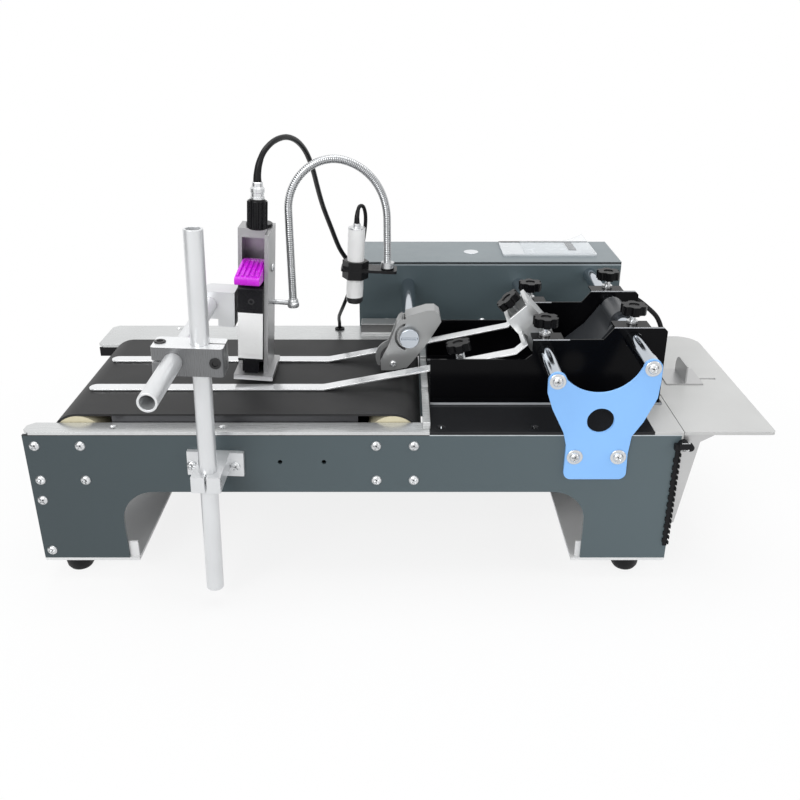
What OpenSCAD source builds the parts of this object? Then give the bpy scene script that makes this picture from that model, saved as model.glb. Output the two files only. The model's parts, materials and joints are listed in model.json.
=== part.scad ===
// Inkjet coding machine: a desktop friction feeder with a flat transport belt
// and a cartridge print head on a post, as separate named sub-parts.
// Millimetres. X runs along the belt, Y from front to back, Z up from the table.

/* [Frame] */
// Width over the two side plates
frame_w = 292; // [288:1:298]
// Thickness of each side plate
plate_t = 3; // [2.5:0.1:3.4]
// Radius of the upper corners of the arch in a side plate
arch_r = 32; // [20:1:40]
// Length of the tray past the end cover
tray_len = 84; // [70:1:100]
// Height of the closed control box above the table
box_top = 243; // [240:0.5:250]

/* [Belt] */
// Width of the transport belt
belt_w = 200; // [185:1:202]
// Thickness of the transport belt
belt_t = 2; // [1.5:0.1:2.4]
// Diameter of the belt rollers
roller_d = 50; // [44:1:52]

/* [Magazine] */
// Distance between the inner faces of the two guide walls
stack_w = 114; // [112:0.5:124]
// Thickness of the guide sheets
sheet_t = 2; // [1.5:0.1:2.4]
// Diameter of the star knobs
knob_d = 25; // [20:0.5:25]
// Width of the hold-down strips
strip_w = 14; // [11:0.5:14]
// Diameter of the guide bars
bar_d = 16; // [14:0.5:16]

/* [Print head] */
// Diameter of the post and of the cross tube
tube_d = 16; // [14:0.5:16.5]
// Height of the top of the post above the table
post_top = 362; // [355:1:400]
// Length of the cross tube
cross_len = 258; // [258:1:270]
// Width of the ink cartridge
cart_w = 24.4; // [22:0.2:25]

/* [Hidden] */
$fn = 64;

c_plate = "#5b686f";
c_silver = "#c9cccf";
c_alu = "#e2e4e6";
c_black = "#17181a";
c_blue = "#8abcf8";
c_pale = "#d9dad8";
c_cream = "#e9e3cd";
c_violet = "#b51bdc";
c_white = "#f2f2f0";
c_belt = "#2b2d2f";
c_chrome = "#dfe3e6";
c_board = "#1f6a44";

// Clearances: a shaft in its bore, and two bodies passing each other
run = 0.1;
gap = 0.3;

// Frame
frame_len = 610;
plate_z0 = 25;
plate_z1 = 160;
deck_z = 163;
arch_x0 = 83;
arch_x1 = 527;
arch_z = 99.5;
yb = frame_w;
yi = frame_w - plate_t;
screw_d = 9;
bore_d = 4.4;
shank_d = 4;
block_x = [31.3, 345];
block_p = [42.6, 35.2];
block_z = [112.5, 148.7];

// Belt and rollers
belt_top = 171.3;
belt_y0 = 21.5;
belt_y1 = belt_y0 + belt_w;
belt_side = 1;
bed_x = [78, 310];
bed_skirt = 136;
stay_x = [110, 278];
stay_d = 14;
deck_x0 = 377;
corner = 6;
idler_x = 45;
drive_x = 343;
loop_r = roller_d / 2 + gap;
roll_z = belt_top - belt_t - loop_r;
axle_d = 12;

// Drive inside the control box
pul_r = 12;
pul_y0 = yb + 4;
pul_y1 = yb + 14;
motor_c = [395, 92];
feed_c = [448, 152];
drive_c = [drive_x, roll_z];

// Tray and end cover
cover_x0 = 585;
cover_x1 = 612;
tray_x0 = cover_x1 + 0.6;
tray_x1 = cover_x1 + 1 + tray_len;
tray_y1 = 255;

// Control box
box_x0 = 300;
box_x1 = 612;
box_y1 = yb + 96;
box_z0 = 40;
box_t = 1.5;
rim_z = box_top - 2;
screen = [474, 588, yb + 24, yb + 89];

// Guide bars, gate shaft
bar1 = [491, 215];
bar2 = [575, 227.5];
bar_r = bar_d / 2;
shaft = [359, 215];
shaft_d = 16;

// Magazine
wall1_y = 72;
wall2_y = wall1_y + stack_w;
ear_w = 20;
ear_z = [227.6, 240];
knob_y = 13;
knob_h = 9;
stud_h = 10;

// Strip block, in its own slanted frame: u up to the right, v down to the right
blk_a = [455.4, 236];
blk_u = 28.6;
blk_v = 22.4;
blk_t = 4;
blk_ang = -42;
strip1_y = 74;
strip2_y = 150;
strip_t = 1.6;

// Print-head stand
lean = 2;
stand_x = 178.5;
stand_z = 132;
post_y = -39;
arm_lx = 157.8;
arm_lz = 252.85;
arm_x = stand_x + (arm_lx - stand_x) * cos(lean) + (arm_lz - stand_z) * sin(lean);
arm_z = stand_z - (arm_lx - stand_x) * sin(lean) + (arm_lz - stand_z) * cos(lean);
arm_y1 = 125;
arm_y0 = arm_y1 - cross_len;

// Print head, in its own frame before it leans by head_lean
head_lean = 4;
head_x = 162;
head_z = 253.5;
cart_x = 203.7;
slot_w = cart_w + 0.6;
cheek_t = 4;
ch0 = cart_x - slot_w / 2 - cheek_t;
ch1 = cart_x + slot_w / 2 + cheek_t;
foot_z0 = 180;
foot_z1 = 185;
latch_y = 124;
latch_z = 288;
plug_x = 206;
plug_y = 120;

// Gooseneck and sensor
neck_r = 4;
rod_z = 248.5;
neck_p = [240, 136];
neck_a = 26;
neck_z = arm_z - 11.5;
neck_up = 96;
neck_r1 = 46;
neck_r2 = 66;
sens = [302, 185, arm_z + 12.5];
sens_lean = 3;

// Whole-object box in plan, used to put the origin at its bottom centre
mid_x = tray_x1 / 2;
mid_y = (arm_y0 + box_y1) / 2;

// Cord routes, picked by eye and rounded by the sweep
plug_end = head_pt(plug_x, 372);
head_route = [[plug_end[0], plug_y, plug_end[1]],
    [plug_end[0] + 0.5, plug_y, plug_end[1] + 7], [217, 121, 386], [221.5, 126.5, 396],
    [229, 141, 403], [238, 162, 404], [246, 185, 397], [252, 208, 383],
    [256, 230, 363], [258, 255, 339], [261, 283, 311], [268, 310, 278],
    [275, 330, 250], [283, 341, 233], [287.5, 345, 228.4], [292, 345, 228]];
sensor_route = [[304.5, 185, 313.9], [304.9, 185, 322], [307, 189, 330], [311, 195, 329],
    [313, 200, 318], [311.5, 202, 300], [306, 203, 272], [298, 204, 246],
    [291, 210, 227], [284, 224, 208], [279, 244, 193], [277, 262, 182],
    [276.5, 274, 174], [276.3, 279, 165.1]];
lead_route = [[620, 320, 191.5], [627, 320, 191.5], [636, 320, 190.5], [646, 320, 185.5],
    [657, 320, 177], [669, 319, 166], [676, 317, 152], [677, 312, 137], [671, 304, 123],
    [658, 293, 112], [642, 282, 104], [629, 276, 100.4], [620, 275, 100]];

// Helper shapes
module shift() {
  translate([-mid_x, -mid_y, 0]) children();
}
module box(x0, x1, y0, y1, z0, z1) {
  translate([x0, y0, z0]) cube([x1 - x0, y1 - y0, z1 - z0]);
}
module xz(y0, y1) {
  translate([0, y1, 0]) rotate([90, 0, 0]) linear_extrude(y1 - y0) children();
}
module yz(x0, x1) {
  translate([x0, 0, 0]) rotate([90, 0, 90]) linear_extrude(x1 - x0) children();
}
module xy(z0, z1) {
  translate([0, 0, z0]) linear_extrude(z1 - z0) children();
}
module ycyl(p, y0, y1, d) {
  translate([p[0], y1, p[1]]) rotate([90, 0, 0]) cylinder(h = y1 - y0, d = d);
}
module xcyl(y, z, x0, x1, d) {
  translate([x0, y, z]) rotate([0, 90, 0]) cylinder(h = x1 - x0, d = d);
}
module zcyl(x, y, z0, z1, d) {
  translate([x, y, z0]) cylinder(h = z1 - z0, d = d);
}
module rrect(x0, x1, y0, y1, r) {
  translate([x0 + r, y0]) square([x1 - x0 - 2 * r, y1 - y0]);
  translate([x0, y0 + r]) square([x1 - x0, y1 - y0 - 2 * r]);
  for (x = [x0 + r, x1 - r], y = [y0 + r, y1 - r]) translate([x, y]) circle(r);
}
// A flat band of width w between two points
module band(a, b, w) {
  d = b - a;
  translate(a) rotate(atan2(d[1], d[0])) translate([0, -w / 2]) square([norm(d), w]);
}
module path(pts, w) {
  for (i = [0:len(pts) - 2]) band(pts[i], pts[i + 1], w);
  for (i = [1:len(pts) - 2]) translate(pts[i]) circle(w / 2);
}
// Frames that lean with the post and with the print head
module lean_post() {
  translate([stand_x, 0, stand_z]) rotate([0, lean, 0])
    translate([-stand_x, 0, -stand_z]) children();
}
module lean_head() {
  translate([arm_x, 0, arm_z]) rotate([0, head_lean, 0])
    translate([-head_x, 0, -head_z]) children();
}
function head_pt(x, z) = [
    arm_x + (x - head_x) * cos(head_lean) + (z - head_z) * sin(head_lean),
    arm_z - (x - head_x) * sin(head_lean) + (z - head_z) * cos(head_lean)];

// Cord sweep: rings of points carried along a smoothed route
function smooth(p, k) = [for (i = [0:len(p) - 2]) each [for (j = [0:k - 1])
    let (t = j / k, a = p[max(i - 1, 0)], b = p[i], c = p[i + 1], d = p[min(i + 2, len(p) - 1)])
    0.5 * (2 * b + (c - a) * t + (2 * a - 5 * b + 4 * c - d) * t * t
      + (3 * b - a - 3 * c + d) * t * t * t)], p[len(p) - 1]];
function unit(v) = v / norm(v);
module cord(route, r, k, n, first, last) {
  q = smooth(route, k);
  m = len(q);
  tan = [for (i = [0:m - 1]) i == 0 ? first : i == m - 1 ? last : unit(q[i + 1] - q[i - 1])];
  ref = [0.35, -0.5, 0.3];
  pts = [for (i = [0:m - 1])
      let (s = unit(cross(tan[i], ref)), w = cross(s, tan[i]))
      each [for (j = [0:n - 1]) q[i] + r * (cos(360 * j / n) * s + sin(360 * j / n) * w)]];
  sides = [for (i = [0:m - 2], j = [0:n - 1])
      [i * n + j, i * n + (j + 1) % n, (i + 1) * n + (j + 1) % n, (i + 1) * n + j]];
  tris = [for (f = sides) each [[f[0], f[2], f[1]], [f[0], f[3], f[2]]]];
  caps = [[for (j = [0:n - 1]) j], [for (j = [n - 1:-1:0]) (m - 1) * n + j]];
  polyhedron(points = pts, faces = concat(tris, caps), convexity = 6);
}

// Side plates
plate_screws = concat(
    [for (i = [0, 1], s = [-1, 1], z = block_z) [block_x[i] + s * block_p[i] / 2, z]],
    [[8.4, 90.6], [8.4, 34]]);
accessory = [[237.3, 131.8], [278.4, 131.8]];
module plate_outline() {
  difference() {
    translate([0, plate_z0]) square([frame_len, plate_z1 - plate_z0]);
    translate([arch_x0, plate_z0 - 1]) square([arch_x1 - arch_x0, arch_z - arch_r - plate_z0 + 1]);
    translate([arch_x0 + arch_r, 30]) square([arch_x1 - arch_x0 - 2 * arch_r, arch_z - 30]);
    for (x = [arch_x0 + arch_r, arch_x1 - arch_r]) translate([x, arch_z - arch_r]) circle(arch_r);
    for (p = plate_screws) translate(p) circle(d = bore_d);
    for (p = accessory) translate(p) circle(d = bore_d);
    for (p = [bolt1, bolt2]) translate(p) circle(d = bore_d);
    for (p = plate_low) translate(p) circle(d = bore_d);
  }
}
bolt1 = [156, 130.8];
bolt2 = [196.3, 129.6];
plate_low = [[512, 138.8], [552.4, 138.8]];
module side_plates() {
  color(c_plate) shift() {
    xz(0, plate_t) plate_outline();
    difference() {
      xz(yi, yb) plate_outline();
      ycyl(drive_c, yi - 1, yb + 1, 20);
      ycyl(feed_c, yi - 1, yb + 1, 20);
    }
  }
}

// Rails that lie on the plates' top edges beside the belt
rail1_y = belt_y0 - belt_side;
rail2_y = belt_y1 + 4.5;
rail_sx = [82, 184];
sink_in = 11;
module side_rails() {
  color(c_silver) shift() {
    difference() {
      xy(plate_z1, deck_z) polygon([[0, corner], [corner, 0], [deck_x0, 0], [deck_x0, rail1_y],
          [corner, rail1_y], [0, rail1_y - corner]]);
      for (x = rail_sx) sink(x, sink_in);
    }
    difference() {
      xy(plate_z1, deck_z) polygon([[0, yb - corner], [corner, yb], [deck_x0, yb],
          [deck_x0, rail2_y], [corner, rail2_y], [0, rail2_y + corner]]);
      for (x = rail_sx) sink(x, yb - sink_in);
      zcyl(grommet[0], grommet[1], plate_z1 - 1, deck_z + 1, grommet_d);
    }
  }
}
module sink(x, y) {
  zcyl(x, y, plate_z1 - 1, deck_z + 1, bore_d);
  translate([x, y, deck_z - 1.9]) cylinder(h = 2, d1 = bore_d, d2 = 8.4);
}
module flat_screw(x, y) {
  translate([x, y, deck_z - 1.7]) difference() {
    union() {
      cylinder(h = 1.7, d1 = shank_d, d2 = 7.4);
      translate([0, 0, -8]) cylinder(h = 8.1, d = shank_d);
    }
    for (a = [0, 90]) rotate(a) translate([-2, -0.4, 1]) cube([4, 0.8, 2]);
  }
}

// Cross plates under the legs, with a turned-up flange at each side plate
module cross_plates() {
  color(c_silver) shift() for (m = [[0, 93], [518, 610]]) difference() {
    union() {
      box(m[0], m[1], 0, yb, 22, plate_z0);
      box(m[0] + 4, m[1] - 1, plate_t, plate_t + 2, 22, 42);
      box(m[0] + 4, m[1] - 1, yi - 2, yi, 22, 42);
    }
    for (y = [plate_t - 1, yi - 3]) ycyl([8.4, 34], y, y + 4, bore_d);
    for (y = foot_y) zcyl(m[0] == 0 ? foot_x[0] : foot_x[1], y, 20, 26, 6.4);
  }
}
foot_x = [24, 578];
foot_y = [25, yb - 25];
module rubber_feet() {
  color(c_black) shift() for (x = foot_x, y = foot_y) translate([x, y, 0]) {
    translate([0, 0, 4]) cylinder(h = 18, d1 = 26, d2 = 32);
    cylinder(h = 4, d1 = 21, d2 = 26);
    translate([0, 0, 21]) cylinder(h = 8, d = 6);
  }
}

// Slider bed under the top run of the belt, on two stays between the plates
module slider_bed() {
  bed_z = belt_top - belt_t;
  color(c_silver) shift() {
    box(bed_x[0], bed_x[1], belt_y0, belt_y1, bed_z - 2.5, bed_z);
    box(bed_x[0], bed_x[1], belt_y0, belt_y0 + 2, bed_skirt, bed_z - 1);
    box(bed_x[0], bed_x[1], belt_y1 - 2, belt_y1, bed_skirt, bed_z - 1);
    for (x = stay_x) ycyl([x, bed_skirt + 11], plate_t, yi, stay_d);
  }
}
module belt_loop(r) {
  for (x = [idler_x, drive_x]) translate([x, roll_z]) circle(r);
  translate([idler_x, roll_z - r]) square([drive_x - idler_x, 2 * r]);
}
module transport_belt() {
  color(c_belt) shift() xz(belt_y0, belt_y1) difference() {
    belt_loop(loop_r + belt_t);
    belt_loop(loop_r);
  }
}
module drive_roller() {
  color(c_cream) shift() {
    ycyl(drive_c, belt_y0, belt_y1, roller_d);
    ycyl(drive_c, plate_t + 1.5, yb + 15, axle_d);
    pulley(drive_c);
  }
}
module idler_roller() {
  color(c_cream) shift() {
    ycyl([idler_x, roll_z], belt_y0, belt_y1, roller_d);
    ycyl([idler_x, roll_z], plate_t + 1.5, yi - 1.5, axle_d);
  }
}
module pulley(c) {
  ycyl(c, pul_y0, pul_y1, 2 * pul_r);
  ycyl(c, pul_y0, pul_y0 + 1, 2 * pul_r + 5);
  ycyl(c, pul_y1 - 1, pul_y1, 2 * pul_r + 5);
}

// Bearing blocks behind the screw patterns, and a pair for the feed shaft
module bearings() {
  color(c_alu) shift() for (side = [0, 1]) {
    y0 = side == 0 ? plate_t : yi - 14;
    for (i = [0, 1]) difference() {
      box(block_x[i] - 27, block_x[i] + 27, y0, y0 + 14, 105, plate_z1);
      ycyl([i == 0 ? idler_x : drive_x, roll_z], y0 - 1, y0 + 15, axle_d + 2 * run);
      for (s = [-1, 1], z = block_z) ycyl([block_x[i] + s * block_p[i] / 2, z],
          side == 0 ? y0 - 1 : y0 + 6, side == 0 ? y0 + 8 : y0 + 15, bore_d);
    }
    difference() {
      box(379, 484, y0, y0 + 14, 138, plate_z1);
      ycyl(feed_c, y0 - 1, y0 + 15, 10 + 2 * run);
      for (x = deck_sx) zcyl(x, side == 0 ? sink_in : yb - sink_in, 150, 161, bore_d);
    }
  }
}
deck_sx = [388, 475];

// Deck under the paper stack, with slots for the feed wheels
module feeder_deck() {
  color(c_black) shift() difference() {
    box(deck_x0, cover_x0, 0, yb, plate_z1, deck_z);
    for (x = deck_sx, y = [sink_in, yb - sink_in]) sink(x, y);
    for (y = wheel_y) box(feed_c[0] - 20, feed_c[0] + 20, y - 1.5, y + 13.5, 150, 170);
  }
}
wheel_y = [100, 146];
module transition_strip() {
  color(c_silver) shift() difference() {
    box(deck_x0 - 6, deck_x0 + 0.8, corner, yb - corner, deck_z, 170);
    for (y = [strip1_y + 1, 158]) box(deck_x0 - 7, deck_x0 + 2, y, y + 14, 166.5, 171);
  }
}
module end_cover() {
  color(c_pale) shift() {
    box(cover_x0, cover_x1, 0, yb, plate_z1, deck_z);
    box(frame_len, cover_x1, 0, yb, 60, plate_z1 + 1);
  }
}

// Black trim on the plate's right edge, with teeth, and the clip at the top
module edge_trim() {
  color(c_black) shift() {
    xz(-1.5, 0) union() {
      translate([606, 40]) square([4, 104]);
      for (z = [44:8:136]) translate([605, z]) square([2, 4]);
    }
    ycyl([612, 151], -6, 0, 10);
    box(604, 620, -5, 0, 146, 152);
    ycyl([618, 149], -5.5, -0.5, 7);
  }
}
module tray() {
  color(c_pale) shift() difference() {
    xy(plate_z1, deck_z) difference() {
      union() {
        translate([tray_x0, 0]) square([tray_x1 - tray_x0 - 25, tray_y1]);
        translate([tray_x0, 4]) square([tray_x1 - tray_x0, tray_y1 - 29]);
        translate([tray_x1 - 25, tray_y1 - 25]) circle(25);
        translate([tray_x1 - 4, 4]) circle(4);
        translate([tray_x1 - 26, 0]) square([22, 8]);
      }
      translate([620, 124]) square([tray_x1 - 636, 4]);
    }
  }
}
gusset = 36;
module tray_brackets() {
  color(c_silver) shift() for (y = [5.5, 246]) {
    xz(y, y + 2.5) polygon([[cover_x1, 62], [cover_x1, plate_z1],
        [cover_x1 + gusset, plate_z1], [cover_x1 + gusset / 2, plate_z1 - 10],
        [cover_x1 + 4, 62]]);
    box(cover_x1, cover_x1 + 2, y, y + 18, 66, plate_z1 - 12);
    box(cover_x1 + 1, cover_x1 + gusset, y, y + 12, plate_z1 - 2, plate_z1);
  }
}
// Stop that slides on the tray, held by a tongue in the tray's slot
module tray_stop() {
  color(c_silver) shift() {
    box(625, 663, 109, 150, deck_z + 0.1, deck_z + 1.7);
    box(644, 645.6, 110, 136, deck_z + 1, deck_z + 20);
    box(644, 645.6, 110, 147, deck_z + 1, deck_z + 9);
    intersection() {
      xcyl(136, deck_z + 9, 644, 645.6, 22);
      box(640, 650, 130, 160, deck_z + 1, deck_z + 30);
    }
    box(636, 652, 124.2, 127.8, plate_z1 - 1.5, deck_z + 0.5);
    box(634, 654, 121, 131, plate_z1 - 3, plate_z1 - 0.3);
  }
}

// Blue end plate that holds the front ends of the guide bars
module bar_end_plate() {
  color(c_blue) shift() xz(-3, 0) difference() {
    union() {
      polygon([bar1, [482.5, 215.6], [482.7, 203.4], [488.1, 187.5], [500.1, 163.3],
          [503.3, 150.1], [503, 122.1], [561.5, 122.1], [561, 142], [562.8, 160],
          [572, 174.7], [582.3, 198.7], [583.5, 214.3], [583.5, 227.5], bar2, [566, 236],
          [540, 236], [500, 222]]);
      translate([510, 115.1]) square([44.5, 8]);
      for (x = [510, 554.5]) translate([x, 122.1]) circle(7);
      translate(bar1) circle(8.5);
      translate(bar2) circle(8.5);
    }
    difference() {
      translate([529.1, 243.8]) circle(40.4);
      translate(bar1) circle(8.5);
      translate(bar2) circle(8.5);
    }
    translate([532.9, 175.9]) circle(12.5);
    for (p = concat(plate_low, [bar1, bar2])) translate(p) circle(d = bore_d);
  }
}
module guide_bars() {
  color(c_chrome) shift() for (b = [bar1, bar2]) difference() {
    ycyl(b, 0, yb, bar_d);
    ycyl(b, -1, 10, bore_d);
  }
}
module gate_shaft() {
  color(c_chrome) shift() difference() {
    union() {
      ycyl(shaft, 109, yb, shaft_d);
      ycyl(shaft, 105, 109.5, 20);
    }
    box(shaft[0] - 8, shaft[0] + 8, 104, 106.5, shaft[1] - 1, shaft[1] + 1);
  }
}

// Control box: an open folded tub, its lid, the panel and what it holds
module box_body() {
  color(c_plate) shift() {
    difference() {
      box(box_x0, box_x1, yb, box_y1, box_z0, rim_z);
      box(box_x0 + box_t, box_x1 - box_t, yb + box_t, box_y1 - box_t, box_z0 + box_t, rim_z + 1);
      ycyl(drive_c, yb - 1, yb + 3, 20);
      ycyl(feed_c, yb - 1, yb + 3, 20);
      for (s = box_sockets) xcyl(yb + s[0], s[1], box_x0 - 1, box_x0 + 3, 8);
      for (p = box_screws) ycyl(p, yb - 1, yb + 3, bore_d);
      for (z = [70:10:130]) box(500, 560, box_y1 - 3, box_y1 + 1, z, z + 4);
    }
  }
}
box_screws = [[332.8, 168], [449, 168]];
module box_lid() {
  color(c_plate) shift() {
    box(box_x0, box_x1, yb, box_y1, rim_z, box_top);
    difference() {
      box(box_x0 + 2, box_x1 - 2, yb + 2, box_y1 - 2, rim_z - 6, rim_z + 0.5);
      box(box_x0 + 3.5, box_x1 - 3.5, yb + 3.5, box_y1 - 3.5, rim_z - 7, rim_z);
    }
    zcyl(436.5, yb + 45, box_top - 0.5, box_top + 0.6, 18);
  }
}
module display_panel() {
  color(c_white) shift() {
    xy(box_top, box_top + 2.5) rrect(screen[0], screen[1], screen[2], screen[3], 3);
    box(screen[0] + 3, screen[1] - 3, screen[3] - 7, screen[3] - 3, box_top + 2, box_top + 3.1);
    box(555, 566, screen[2] + 20, screen[2] + 54, box_top + 2, box_top + 3.1);
  }
}
module drive_motor() {
  color(c_black) shift() {
    difference() {
      union() {
        box(motor_c[0] - 29, motor_c[0] + 29, yb + 19, yb + 72, motor_c[1] - 29, motor_c[1] + 29);
        box(motor_c[0] - 34, motor_c[0] + 34, yb + 16, yb + 19.5, box_z0 + box_t, motor_c[1] + 34);
        box(motor_c[0] - 34, motor_c[0] + 34, yb + 16, yb + 60, box_z0 + box_t, box_z0 + 4.5);
      }
      ycyl(motor_c, yb + 10, yb + 30, 8 + 2 * run);
    }
  }
}
module motor_pulley() {
  color(c_alu) shift() {
    pulley(motor_c);
    ycyl(motor_c, pul_y0 - 1, yb + 29, 8);
  }
}
// Closed loop round the three pulleys; the straight runs lie a hair inside the tangents
module drive_loop(r) {
  c = [motor_c, feed_c, drive_c];
  for (i = [0:2]) {
    translate(c[i]) circle(r);
    band(c[i], c[(i + 1) % 3], 2 * r - 0.04);
  }
  polygon(c);
}
module drive_belt() {
  color(c_black) shift() xz(pul_y0 + 1.3, pul_y1 - 1.3) difference() {
    drive_loop(pul_r + gap + 1.5);
    drive_loop(pul_r + gap);
  }
}
module control_board() {
  color(c_board) shift() {
    box(478, 594, yb + 34, yb + 84, 47.5, 49.1);
    for (x = [484, 588], y = [yb + 40, yb + 78]) zcyl(x, y, box_z0 + box_t, 48, 6);
    box(492, 512, yb + 44, yb + 64, 49, 53);
    box(530, 546, yb + 40, yb + 76, 49, 65);
    for (x = [560, 578]) zcyl(x, yb + 56, 49, 66, 12);
  }
}
// Y behind the plate, height and diameter of the sockets in the box's left end
box_sockets = [[53, 228, 14]];
// Grommet in the rear rail that the sensor's cable goes down through
grommet = [276.3, frame_w - 13];
grommet_d = 6.4;
module cable_sockets() {
  color(c_black) shift() {
    for (s = box_sockets) {
      xcyl(yb + s[0], s[1], box_x0 - 8, box_x0, s[2]);
      xcyl(yb + s[0], s[1], box_x0 - 1, box_x0 + 6, 7.6);
    }
    xcyl(yb + 28, 191.5, box_x1, box_x1 + 8, 14);
    xcyl(yb - 17, 100, cover_x1, cover_x1 + 8, 14);
    difference() {
      zcyl(grommet[0], grommet[1], deck_z, deck_z + 2, grommet_d + 5);
      zcyl(grommet[0], grommet[1], deck_z - 1, deck_z + 3, grommet_d);
    }
  }
}
module side_lead() {
  color(c_black) shift() cord(lead_route, 3, 4, 10, [1, 0, 0], [-1, 0, 0]);
}

// All pan-head and flat-head screws of the frame
module pan_screw(p, y, dir, len) {
  translate([p[0], y, p[1]]) rotate([dir > 0 ? 90 : -90, 0, 0]) difference() {
    union() {
      cylinder(h = 1.6, d = screw_d);
      translate([0, 0, 1.6]) cylinder(h = 0.9, d1 = screw_d, d2 = screw_d - 3);
      translate([0, 0, -len]) cylinder(h = len + 0.1, d = shank_d);
    }
    for (a = [0, 90]) rotate(a + 20) translate([-2.4, -0.5, 1.3]) cube([4.8, 1, 2]);
  }
}
module frame_screws() {
  color(c_chrome) shift() {
    for (p = plate_screws) {
      pan_screw(p, 0, 1, 9);
      if (p[0] < box_x0 - 8) pan_screw(p, yb, -1, 9);
    }
    for (p = plate_low) pan_screw(p, -3, 1, 6);
    for (p = [bar1, bar2]) {
      ycyl(p, -4, -3, bar_d - 1);
      pan_screw(p, -4, 1, 7);
    }
    for (p = [bolt1, bolt2]) pan_screw(p, -5, 1, 9);
    for (p = box_screws) pan_screw(p, yb, 1, 3);
    for (x = concat(rail_sx, deck_sx), y = [sink_in, yb - sink_in]) flat_screw(x, y);
  }
}

// Feed shaft with its wheels, driven from the box
module feed_shaft() {
  color(c_chrome) shift() {
    ycyl(feed_c, plate_t + 1.5, yb + 15, 10);
    pulley(feed_c);
  }
}
module feed_wheels() {
  color(c_black) shift() for (y = wheel_y) difference() {
    ycyl(feed_c, y, y + 12, 36);
    ycyl(feed_c, y - 1, y + 13, 10);
  }
}

// Separator gate: two sheet sides, a roof and the black wheel
gate_pts = [[346, 227], [348, 231.5], [354, 236], [376, 242.8], [384, 243], [389, 239],
    [391, 231], [378.1, 209.5], [362.7, 188.7], [356.6, 181.5], [342, 178.4], [330, 178.4],
    [329.3, 188.5], [339, 208]];
wheel_c = [342.3, 185.6];
guard_d = 37;
module gate_bracket() {
  color(c_alu) shift() difference() {
    union() {
      xz(112, 114.5) polygon(gate_pts);
      xz(132, 134.5) polygon(gate_pts);
      intersection() {
        ycyl(wheel_c, 132, 134.5, guard_d);
        box(300, 400, 130, 136, 176, 260);
      }
      xz(112, 134.5) intersection() {
        polygon(gate_pts);
        path([for (i = [0:6]) gate_pts[i]], 4);
      }
      ycyl(shaft, 112, 134.5, shaft_d + 6);
    }
    ycyl(shaft, 110, 136, shaft_d + 2 * run);
    ycyl(wheel_c, 110, 136, 5 + 2 * run);
    ycyl([353.5, 234.8], 110, 136, 4);
    xz(111, 115) difference() {
      translate(shaft) circle(15);
      translate(shaft) circle(12.5);
      translate([shaft[0] - 4, 190]) square([30, 50]);
    }
  }
}
module separator_wheel() {
  color(c_black) shift() {
    ycyl(wheel_c, 116, 130.5, 27);
    ycyl(wheel_c, 112.5, 134, 5);
  }
}

// Guide wall, the same part used twice; y is its outer face
module guide(y) {
  difference() {
    union() {
      xz(y, y + sheet_t) polygon([[379, deck_z + 0.2], [607, deck_z + 0.2], [607, 236],
          [603, ear_z[1]], [556, ear_z[1]], [546, ear_z[0]], [478, ear_z[0]], [478, 212],
          [472, 207], [379, 207]]);
      box(379, 607, y - 10, y + sheet_t, deck_z + 0.2, deck_z + 0.2 + sheet_t);
      box(478, 508, y, y + ear_w, ear_z[0] - sheet_t, ear_z[0]);
      box(556, 591, y, y + ear_w, ear_z[1] - sheet_t, ear_z[1]);
    }
    ycyl(bar1, y - 1, y + sheet_t + 1, bar_d + 2 * run);
    ycyl(bar2, y - 1, y + sheet_t + 1, bar_d + 2 * run);
    zcyl(bar1[0], y + knob_y, ear_z[0] - 6, ear_z[0] + 1, 5 + 2 * run);
    zcyl(bar2[0], y + knob_y, ear_z[1] - 6, ear_z[1] + 1, 5 + 2 * run);
  }
}
module front_guide() {
  color(c_black) shift() guide(wall1_y - sheet_t);
}
module rear_guide() {
  color(c_black) shift() guide(wall2_y);
}
// Star knob with a threaded stud; z is the underside of its head
module star(h) {
  difference() {
    cylinder(h = h, d = knob_d);
    for (a = [0:60:300]) rotate(a) translate([knob_d / 2 + 1.5, 0, -1])
      cylinder(h = h + 2, d = 7.5);
    translate([0, 0, h - 1]) cylinder(h = 2, d = 10);
  }
}
module guide_knob(b, y, ear) {
  translate([b[0], y + knob_y, 0]) {
    translate([0, 0, ear + stud_h]) star(knob_h);
    zcyl(0, 0, ear + 0.2, ear + 3.2, 11);
    zcyl(0, 0, ear + 3, ear + stud_h + 1, 6);
    zcyl(0, 0, b[1] + bar_r + 0.4, ear + 4, 5);
  }
}
module front_left_knob() {
  color(c_black) shift() guide_knob(bar1, wall1_y - sheet_t, ear_z[0]);
}
module front_right_knob() {
  color(c_black) shift() guide_knob(bar2, wall1_y - sheet_t, ear_z[1]);
}
module rear_left_knob() {
  color(c_black) shift() guide_knob(bar1, wall2_y, ear_z[0]);
}
module rear_right_knob() {
  color(c_black) shift() guide_knob(bar2, wall2_y, ear_z[1]);
}

// Ramp on the right bar that the stack leans on, with its split sleeve
module stack_ramp() {
  color(c_plate) shift() difference() {
    union() {
      ycyl(bar2, 122, 168, bar_d + 8);
      xz(116, 182) path([[566, 226], [560, 217], [550, 204], [537, 193], [526, 184], [519, 175]], 2);
      xz(122, 168) polygon([[563, 229], [575, 229], [570, 218], [561, 216]]);
    }
    ycyl(bar2, 115, 183, bar_d + 2 * run);
  }
}

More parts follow.
